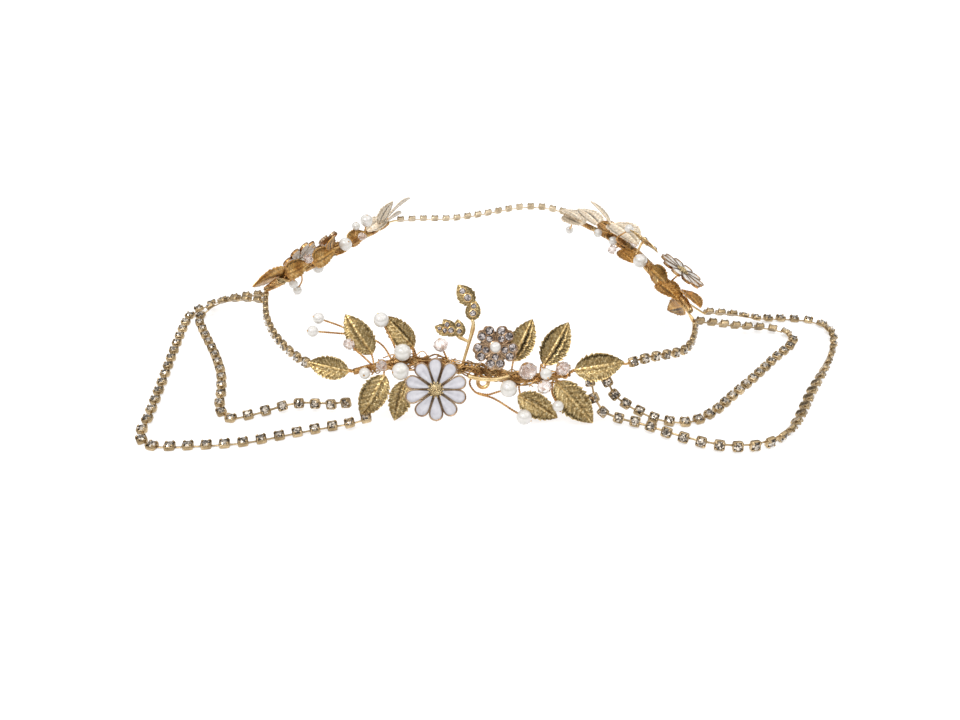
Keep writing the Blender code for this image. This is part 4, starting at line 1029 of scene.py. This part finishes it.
def build_beads(spray, kind, beads, stem, wires):
    for i, (along, up, out, diameter, route) in enumerate(beads, 1):
        node = f"{spray.name}_{kind}_{i:02d}"
        centre = spray.at(along, up, out)
        points = [spray.at(*p) for p in route]
        if stem:
            points[0] = nearest_on_stem(spray, stem, points[0])
        approach = centre - points[-1]
        points.append(centre - approach.normalized() * (diameter / 2 - BEAD_SINK))
        add_twisted(wires, points, WIRE_DIAMETER * 1.25)
        if kind == "pearl":
            build_pearl(node, centre, diameter, approach)
        else:
            build_crystal(node, spray, centre, diameter)


# Flowers

DAISY_PETAL = [(0.0, 0.040), (0.12, 0.072), (0.30, 0.124), (0.50, 0.178), (0.66, 0.208), (0.78, 0.208),
               (0.88, 0.178), (0.955, 0.115), (0.99, 0.05), (1.0, 0.0)]
DAISY_RIM = 0.00029
# Where a petal starts, as a share of the daisy's radius
PETAL_START = 0.20
HEART_GRAINS = 44
GOLDEN_ANGLE = 2.39996
FLOWER_RIM = 0.00022
FLOWER_GRAIN = 0.00020


def petal_grid(radius, rows, columns, level, dome, dip):
    """An enamelled petal along +X: slightly domed, with a shallow dip along its middle."""
    stops, shares = zip(*DAISY_PETAL)
    vertices, tones = [], []
    for i in range(rows):
        s = 1 - (1 - i / (rows - 1)) ** 1.5
        width = float(np.interp(s, stops, shares)) * radius
        for j in range(columns):
            t = 2 * j / (columns - 1) - 1
            height = level + dome * (1 - abs(t) ** 3) * math.sin(math.pi * min(1.0, s * 1.04)) ** 0.5
            height -= dip * bell(t, 0.35) * math.sin(math.pi * s)
            vertices.append((radius * (PETAL_START + (1 - PETAL_START) * s), t * width, height))
            # Painted shade towards the petal's edges and its base
            tones.append(1.0 - 0.16 * abs(t) ** 4 - 0.10 * (1 - s) ** 2)
    return vertices, grid_faces(rows, columns), tones


def petal_edge(radius, level):
    stops, shares = zip(*DAISY_PETAL)
    right = [(radius * (PETAL_START + (1 - PETAL_START) * s), -radius * float(np.interp(s, stops, shares)),
              level) for s in np.linspace(0, 1, 26) ** 0.8]
    return right + [(x, -y, z) for x, y, z in reversed(right[:-1])]


def slab(outline, top, bottom):
    """A flat plate with this outline: vertices, then its top, under and side faces."""
    count = len(outline)
    vertices = [(x, y, height) for height in (top, bottom) for x, y, _ in outline]
    return (vertices, tuple(range(count)), tuple(reversed(range(count, 2 * count))),
            [(k, count + k, count + (k + 1) % count, (k + 1) % count) for k in range(count)])


def build_daisy(spray, flower, petals):
    shape = Shape()
    place = flower_place(spray, flower)
    radius = DAISY_DIAMETER / 2
    thick = DAISY_THICKNESS
    edge = petal_edge(radius, thick)
    vertices, faces, tones = petal_grid(radius * 0.985, 18, 11, thick * 0.86, 0.00030, 0.00022)
    rim = loop_tube(edge, DAISY_RIM)
    # The rim darkens towards the heart: painted shade where the petals crowd together
    rim_tones = [0.22 + 0.7 * (x * x + y * y) / radius ** 2 for x, y, _ in edge for _ in range(6)]
    sheet, top, under, sides = slab(edge, thick * 0.82, 0.0)
    for i in range(DAISY_PETALS):
        around = math.tau * i / DAISY_PETALS - math.pi / 2 + math.radians(chance.uniform(-1.5, 1.5))
        turn = place @ Matrix.Rotation(around, 4, "Z")
        turn = turn @ Matrix.Rotation(math.radians(chance.uniform(-2.0, 0.5)), 4, "Y")
        shape.add((vertices, faces), 0, True, turn, tones=tones)
        shape.add(rim, 1, True, turn, tones=rim_tones)
        shape.add((sheet, sides + [top]), 2, False, turn)
        shape.add((sheet, [under]), 0, False, turn)
    web = turned([(radius * 0.60, thick * 0.25), (radius * 0.60, thick * 0.65)], 30)
    # The web under the petals is darker: painted shade in the gaps between them
    shape.add(web, 2, True, place, tones=0.45)
    heart = DAISY_HEART / 2
    dome = [(1.1, 0.0), (1.1, 1.1), (0.9, 1.6), (0.5, 2.0), (0.15, 2.1)]
    # The dome under the grains is darker: painted shade between the grains
    shape.add(turned([(heart * r, thick * h) for r, h in dome], 24), 3, True, place, tones=0.45)
    grain = ball(heart * 0.135, 8, 5)
    for k in range(HEART_GRAINS):
        reach = heart * 1.02 * math.sqrt((k + 0.5) / HEART_GRAINS)
        height = thick * (2.1 - 1.0 * (reach / heart) ** 2.4)
        shape.add(grain, 3, True, moved(place, *polar(reach, k * GOLDEN_ANGLE, height)))
    bead = ball(heart * 0.15, 8, 5)
    for spot in circle(heart * 1.16, 14, thick * 1.15):
        shape.add(bead, 3, True, moved(place, *spot))
    make_piece(f"{spray.name}_daisy", shape, [petals, FLOWER_PLATE, COPPER_PLATE, PALE_PLATE])


HEART_PETAL = [(-1.0, 0.42), (-0.86, 0.62), (-0.66, 0.84), (-0.44, 0.97), (-0.24, 1.0), (-0.08, 0.94),
               (0.08, 0.94), (0.24, 1.0), (0.44, 0.97), (0.66, 0.84), (0.86, 0.62), (1.0, 0.42)]
# A petal's stones: turn as a share of half a petal, reach as a share of the radius, own radius
THREE_STONES = [(-0.44, 0.76, 0.00168), (0.44, 0.76, 0.00168), (0.0, 0.44, 0.00150)]
ONE_STONE = [(0.0, 0.66, 0.00205)]


def build_flower(spray, flower, stones):
    """A rhinestone flower; stones gives each petal's: turn, reach and radius."""
    shape = Shape()
    place = flower_place(spray, flower)
    radius = FLOWER_DIAMETER / 2
    thick = FLOWER_THICKNESS
    half_turn = math.pi / FLOWER_PETALS
    lobes = [polar(radius * reach, turn * half_turn * 0.97) for turn, reach in HEART_PETAL]
    outline = evenly_spaced(smooth_route(lobes, 5), 40).tolist()
    outline += [(radius * 0.16, radius * 0.10, 0.0), (radius * 0.16, -radius * 0.10, 0.0)]
    plate, top, under, sides = slab(outline, thick, 0.0)
    # The plate's top among the stones and its sides are darker than its underside: painted shade
    plate_tones = [0.45, 1.0] + [0.6] * len(sides)
    rim = loop_tube([(x, y, thick) for x, y, _ in outline], FLOWER_RIM)
    grain = ball(FLOWER_GRAIN, 8, 5)
    for i in range(FLOWER_PETALS):
        turn = place @ Matrix.Rotation(math.tau * i / FLOWER_PETALS - math.pi / 2, 4, "Z")
        shape.add((plate, [top, under] + sides), 1, False, turn, face_tones=plate_tones)
        shape.add(rim, 1, True, turn)
        for angle, reach, size in stones:
            seat = moved(turn, *polar(radius * reach, angle * half_turn))
            collar = [(1.04, 0.8), (1.08, 1.25), (0.92, 1.4), (0.90, 1.0)]
            shape.add(turned([(size * r, thick * h) for r, h in collar], 18), 1, True, seat)
            add_faceted(shape, brilliant(size * 0.94, thick * 1.25, thick * 2.0), 0, seat)
            for spot in circle(size, 4, thick * 1.45, 0.5):
                shape.add(grain, 1, True, moved(seat, *spot))
    shape.add(ball(FLOWER_PEARL / 2), 2, True, moved(place, 0, 0, FLOWER_PEARL * 0.42))
    web = turned([(radius * 0.70, thick * 0.10), (radius * 0.70, thick * 0.45)], 30)
    # The web under the petals is darker: painted shade in the gaps between them
    shape.add(web, 1, True, place, tones=0.42)
    collar = [(0.0026, thick * 0.6), (0.0026, thick * 1.1), (0.0021, thick * 1.5)]
    shape.add(turned(collar, 24), 1, True, place)
    make_piece(f"{spray.name}_flower", shape, [GREY_STONE, FLOWER_PLATE, PEARL_COAT])


# Sprigs and ring

# The lobes' painted shade, in the columns of LEAF_STYLES
LOBE_STYLE = (1, 0.6, 0.6)


def add_lobe(shape, spray, base, tip):
    """A small crumpled leaf with two stones in a row."""
    length = (tip - base).length
    place = spray.matrix(base, x_axis=tip - base)
    stamped = stamped_leaf(length, LOBE_GRID, 5, 5, LOBE_WIDTH_SHARE, LOBE_STYLE)
    add_stamped(shape, moved(place, 0, 0, SPRIG_THICKNESS * 0.7), stamped, (2, 0))
    size = min(SPRIG_STONE * 0.68, length * 0.175)
    for share, stone in ((0.35, size), (0.68, size * 0.86)):
        seat = moved(place, length * share, 0, SPRIG_THICKNESS * 0.35)
        collar = [(stone * 1.05, 0.0), (stone * 1.12, 0.0006), (stone * 0.94, 0.0008)]
        shape.add(turned(collar, 16), 0, True, seat)
        add_faceted(shape, brilliant(stone * 0.96, 0.0006, 0.0013), 1, seat)


def build_sprig(spray, lines, lobes, depth):
    shape = Shape()
    for line in lines:
        path, _ = along_route([spray.at(*p) for p in line], WIRE_STEP)
        swell = np.interp(np.linspace(0, 1, len(path)), [0, 0.45, 0.78, 1], [1.2, 1.35, 1.9, 1.3])
        across = spray.out.cross(Vector(path[-1] - path[0]))
        shape.add(sweep(path, SPRIG_THICKNESS * 0.55, 12, SPRIG_THICKNESS * swell, across))
    for base_along, base_up, tip_along, tip_up in lobes:
        add_lobe(shape, spray, spray.at(base_along, base_up, depth), spray.at(tip_along, tip_up, depth))
    make_piece(f"{spray.name}_sprig", shape, [GOLD_PLATE, GREY_STONE, LEAF_PLATE])


def build_ring(spray):
    shape = Shape()
    wire = RING_WIRE * 1.3
    ring = circle((RING_OUTER - wire) / 2, 40)
    shape.add(loop_tube(ring, wire / 2, 12), 0, True, spray.matrix(spray.at(*FRONT_RING)))
    make_piece("front_ring", shape, [COPPER_PLATE])


# Stems

WRAP_WIRE = 0.00034
STEM_STRANDS = 6
STEM_STRAND_RADIUS = 0.00046
STEM_PITCH = 0.011
STEM_ROWS = 90
CRESCENT_RADIUS = 0.00085
# How far a stalk runs on under its leaf, and how far behind the leaf's base
STALK_OVERLAP = 0.0012
STALK_DEPTH = 0.0003
TAIL_OVERLAP = 0.0002
TAIL_STEP = 0.0008
# The places along the side stems past which, away from the camera, leaves are cream: a painted reflection of
# the pale studio
LEFT_SHEEN = -0.43
RIGHT_SHEEN = 0.20


def add_wrapped_stem(shape, spray, stem, core_slot):
    """A bundle of wires laid round each other along the stem, bound here and there by thinner wire."""
    path = evenly_spaced(smooth_route([(*spray.at(*s[:3]), s[3]) for s in stem], 20), STEM_ROWS)
    line, widths = path[:, :3], path[:, 3]
    core = sweep(line, STEM_DIAMETER / 2 * 0.66, 14, widths * 0.76, spray.out)
    # The core shows dark between the strands: painted shade in the gaps
    shape.add(core, core_slot, tones=0.30)
    thick = STEM_STRAND_RADIUS
    for k in range(STEM_STRANDS):
        strand = helix_round(line, polyline_length(line), STEM_DIAMETER / 2 - thick,
                             STEM_PITCH * chance.uniform(0.8, 1.3), math.tau * k / STEM_STRANDS,
                             widths - 2 * thick, spray.out)
        bright = chance.uniform(0.55, 0.95)
        shape.add(sweep(strand, thick, 7), core_slot if k % 2 else 0, tones=bright)
    for start in np.arange(0.02, 0.96, 0.13):
        a, b = start + chance.uniform(-0.02, 0.02), start + chance.uniform(0.05, 0.09)
        span = slice(int(a * (STEM_ROWS - 1)), int(min(b, 1.0) * (STEM_ROWS - 1)) + 2)
        wound = helix_round(line[span], polyline_length(line[span]), STEM_DIAMETER / 2 - WRAP_WIRE * 0.2,
                            WRAP_WIRE * 2.1, 0.0, widths[span] - WRAP_WIRE * 0.4, spray.out)
        shape.add(sweep(wound, WRAP_WIRE / 2, 5))


def add_tangle(shape, spray, stem, spans):
    """Loose ends of binding wire that wander along the stem; a span gives start, end and number."""
    for start, end, count in spans:
        for _ in range(count):
            a = chance.uniform(start, end)
            step = chance.uniform(0.05, 0.10)
            points = []
            for k in range(4):
                heart = nearest_on_stem(spray, stem, spray.at(a + step * k, 0.0))
                turn = chance.uniform(0, math.tau)
                reach = chance.uniform(0.8, 1.8) * STEM_DIAMETER / 2
                points.append(heart + spray.up * math.cos(turn) * reach * 1.5
                              + spray.out * abs(math.sin(turn)) * reach)
            path, _ = along_route(points, WIRE_STEP)
            shape.add(sweep(path, chance.uniform(0.0002, 0.00034)), tones=chance.uniform(0.38, 0.95))


def add_stalk(shape, spray, stem, leaf):
    base = spray.at(*leaf[:3])
    tip = spray.at(*leaf[3:6])
    root = nearest_on_stem(spray, stem, base)
    inner = base + (tip - base).normalized() * STALK_OVERLAP - spray.facing(leaf[6]) * STALK_DEPTH
    add_twisted(shape, [root, root.lerp(base, 0.55), inner], WIRE_DIAMETER * 1.2)


def add_tail(shape, spray, stem, end, via, slot):
    point, away = end
    bends = [spray.at(*v) for v in via]
    root = nearest_on_stem(spray, stem, bends[0] if bends else point)
    last = [point + away * TAIL_STRAIGHT, point - away * TAIL_OVERLAP]
    path, _ = along_route([root, *bends, *last], TAIL_STEP)
    shape.add(sweep(path, CARRIER_DIAMETER / 2, 8), slot)


def add_flower_post(shape, spray, stem, flower):
    back = spray.at(*flower[:3]) - spray.facing(*flower[3:]) * BEAD_SINK
    root = nearest_on_stem(spray, stem, back)
    add_twisted(shape, [root, root.lerp(back, 0.5), back], WIRE_DIAMETER * 1.3)


def build_front(ends):
    spray = Spray("front", FRONT_MIDDLE, FRONT_OUTWARD, BAND_HEIGHT, FRONT_LEAN, FRONT_REACH)
    wires = Shape()
    add_wrapped_stem(wires, spray, FRONT_STEM, 0)
    add_tangle(wires, spray, FRONT_STEM, [(-0.62, -0.24, 22), (-0.20, 0.24, 34), (0.2, 0.5, 16)])
    crescent = [spray.at(*p) for p in FRONT_CRESCENT]
    wires.add(sweep(along_route(crescent, WIRE_STEP)[0], CRESCENT_RADIUS, 12), 1)
    for i, leaf in enumerate(FRONT_LEAVES):
        shape = Shape()
        add_leaf(shape, spray, leaf, FRONT_GRID, (0, 1), LEAF_STYLES[i])
        make_piece(f"front_leaf_{i + 1:02d}", shape, [LEAF_PLATE, LEAF_BACK])
        add_stalk(wires, spray, FRONT_STEM, leaf)
    build_beads(spray, "pearl", FRONT_PEARLS, None, wires)
    build_beads(spray, "crystal", FRONT_CRYSTALS, None, wires)
    build_daisy(spray, FRONT_DAISY, WHITE_ENAMEL)
    build_flower(spray, FRONT_FLOWER, THREE_STONES)
    for flower in (FRONT_DAISY, FRONT_FLOWER):
        add_flower_post(wires, spray, FRONT_STEM, flower)
    build_ring(spray)
    build_sprig(spray, [FRONT_SPRIG_STALK, FRONT_SPRIG_TWIG], FRONT_SPRIG_LOBES, 0.0)
    for end, via in zip(ends, FRONT_TAILS):
        add_tail(wires, spray, FRONT_STEM, end, via, 0)
    make_piece("front_stem", wires, [COPPER_PLATE, GOLD_PLATE])


def build_side(spray, stem, leaves, pearls, crystals, daisy, flower, tails, sheen_from):
    wires = Shape()
    add_wrapped_stem(wires, spray, stem, 1)
    for i, leaf in enumerate(leaves):
        # Leaves past the mark take the finish with the painted reflection
        slots = (4, 4) if leaf[0] / sheen_from > 1 else (2, 3)
        add_leaf(wires, spray, leaf, SIDE_GRID, slots, LEAF_STYLES[i % len(LEAF_STYLES)])
        add_stalk(wires, spray, stem, leaf)
    build_beads(spray, "pearl", pearls, stem, wires)
    build_beads(spray, "crystal", crystals, stem, wires)
    build_daisy(spray, daisy, CREAM_ENAMEL)
    add_flower_post(wires, spray, stem, daisy)
    if flower:
        build_flower(spray, flower, ONE_STONE)
        add_flower_post(wires, spray, stem, flower)
    for end, via in tails:
        add_tail(wires, spray, stem, end, via, 1)
    make_piece(f"{spray.name}_stem", wires, [COPPER_PLATE, GOLD_PLATE, WARM_LEAF, WARM_BACK, SHEEN_LEAF])


def build_object():
    ends = {}
    for name, route in ROUTES.items():
        stations = chain_stations(route, CUPS[name])
        build_chain(name, stations)
        ends[name] = (chain_end(stations, False), chain_end(stations, True))
    build_front([ends["band_left"][1], ends["band_right"][0]])
    left = Spray("left", LEFT_MIDDLE, LEFT_OUTWARD, SIDE_HEIGHT, SIDE_LEAN, SIDE_REACH)
    left_ends = [ends["band_left"][0], ends["band_back"][1], ends["swag_left_outer"][0],
                 ends["swag_left_inner"][0]]
    build_side(left, LEFT_STEM, LEFT_LEAVES, LEFT_PEARLS, LEFT_CRYSTALS, LEFT_DAISY, LEFT_FLOWER,
               zip(left_ends, LEFT_TAILS), LEFT_SHEEN)
    right = Spray("right", RIGHT_MIDDLE, RIGHT_OUTWARD, SIDE_HEIGHT, SIDE_LEAN, SIDE_REACH)
    right_ends = [ends["band_right"][1], ends["band_back"][0], ends["swag_right_outer"][1],
                  ends["swag_right_inner"][1]]
    build_side(right, RIGHT_STEM, RIGHT_LEAVES, RIGHT_PEARLS, RIGHT_CRYSTALS, RIGHT_DAISY, None,
               zip(right_ends, RIGHT_TAILS), RIGHT_SHEEN)
    build_sprig(right, [RIGHT_SPRIG_STALK], RIGHT_SPRIG_LOBES, RIGHT_SPRIG_DEPTH)


# Stage

FLOOR_HEIGHT = -0.0002
FLOOR_REACH = 6.0
# The camera was worked out from the photograph
CAMERA_PLACE = (-0.0108, -0.3206, 0.17155)
CAMERA_PITCH = 31.1316


def build_floor():
    mesh = bpy.data.meshes.new("floor")
    corners = [(x * FLOOR_REACH, y * FLOOR_REACH, FLOOR_HEIGHT)
               for x, y in ((-1, -1), (1, -1), (1, 1), (-1, 1))]
    mesh.from_pydata(corners, [], [(0, 1, 2, 3)])
    n = Nodes(bpy.data.materials.new("floor_paper"))
    n.link(n.ramp(n.noise(2.0, 2.0), [(0.3, (0.60, 0.60, 0.60)), (0.7, (0.62, 0.62, 0.62))]), "Base Color")
    n.set(Roughness=0.9, Emission_Color=(1.0, 1.0, 1.0, 1.0), Emission_Strength=0.36)
    mesh.materials.append(n.owner)
    floor = bpy.data.objects.new("floor", mesh)
    bpy.context.scene.collection.objects.link(floor)


def add_softbox(name, location, size, power):
    light = bpy.data.lights.new(name, "AREA")
    light.shape = "RECTANGLE"
    light.size, light.size_y = size
    light.energy = power
    light.use_shadow = False
    lamp = bpy.data.objects.new(name, light)
    lamp.location = location
    lamp.rotation_euler = (-Vector(location)).to_track_quat("-Z", "Y").to_euler()
    bpy.context.scene.collection.objects.link(lamp)


def build_world():
    """A pale studio: bright overhead, darker round the sides, so that metal has something to mirror."""
    world = bpy.data.worlds.new("studio")
    bpy.context.scene.world = world
    n = Nodes(world, "Generated")
    up = n.node("ShaderNodeSeparateXYZ", {"Vector": n.space}).outputs["Z"]
    sky = n.ramp(up, [(0.0, (0.10, 0.09, 0.08)), (0.30, (0.30, 0.29, 0.28)), (0.62, (1.0, 1.0, 1.0))])
    cards = n.spread(n.noise(2.6, 1.0), 0.30, 1.30, 0.38, 0.60)
    n.link(n.times(sky, cards), "Color")
    n.set(Strength=1.35)
    # What lights matt surfaces, and what the camera sees, are paler and more even
    slope = n.spread(up, 0.40, 1.75, 0.0, 0.8)
    even = n.node("ShaderNodeBackground", {"Strength": slope}, Color=(0.99, 0.99, 1.0, 1.0))
    pale = n.node("ShaderNodeBackground", Color=(0.98, 0.98, 0.98, 1.0))
    rays = n.node("ShaderNodeLightPath")
    shader = n.shader.outputs["Background"]
    for ray, other in (("Is Diffuse Ray", even), ("Is Camera Ray", pale)):
        links = {"Fac": rays.outputs[ray], 1: shader, 2: other.outputs["Background"]}
        shader = n.node("ShaderNodeMixShader", links).outputs["Shader"]
    n.tree.links.new(shader, n.tree.nodes["World Output"].inputs["Surface"])


def build_camera():
    camera = bpy.data.cameras.new("camera")
    camera.lens = 30.0
    camera.sensor_width = 36.0
    camera.clip_start = 0.01
    obj = bpy.data.objects.new("camera", camera)
    obj.location = CAMERA_PLACE
    obj.rotation_euler = (math.radians(90 - CAMERA_PITCH), 0.0, 0.0)
    bpy.context.scene.collection.objects.link(obj)
    bpy.context.scene.camera = obj


build_camera()
build_object()
build_floor()
build_world()
add_softbox("key_softbox", (-0.42, -0.50, 0.85), (0.22, 0.22), 3.0)
add_softbox("fill_softbox", (0.8, 0.2, 0.7), (0.9, 0.6), 1.2)
bpy.context.scene.view_settings.view_transform = "Standard"
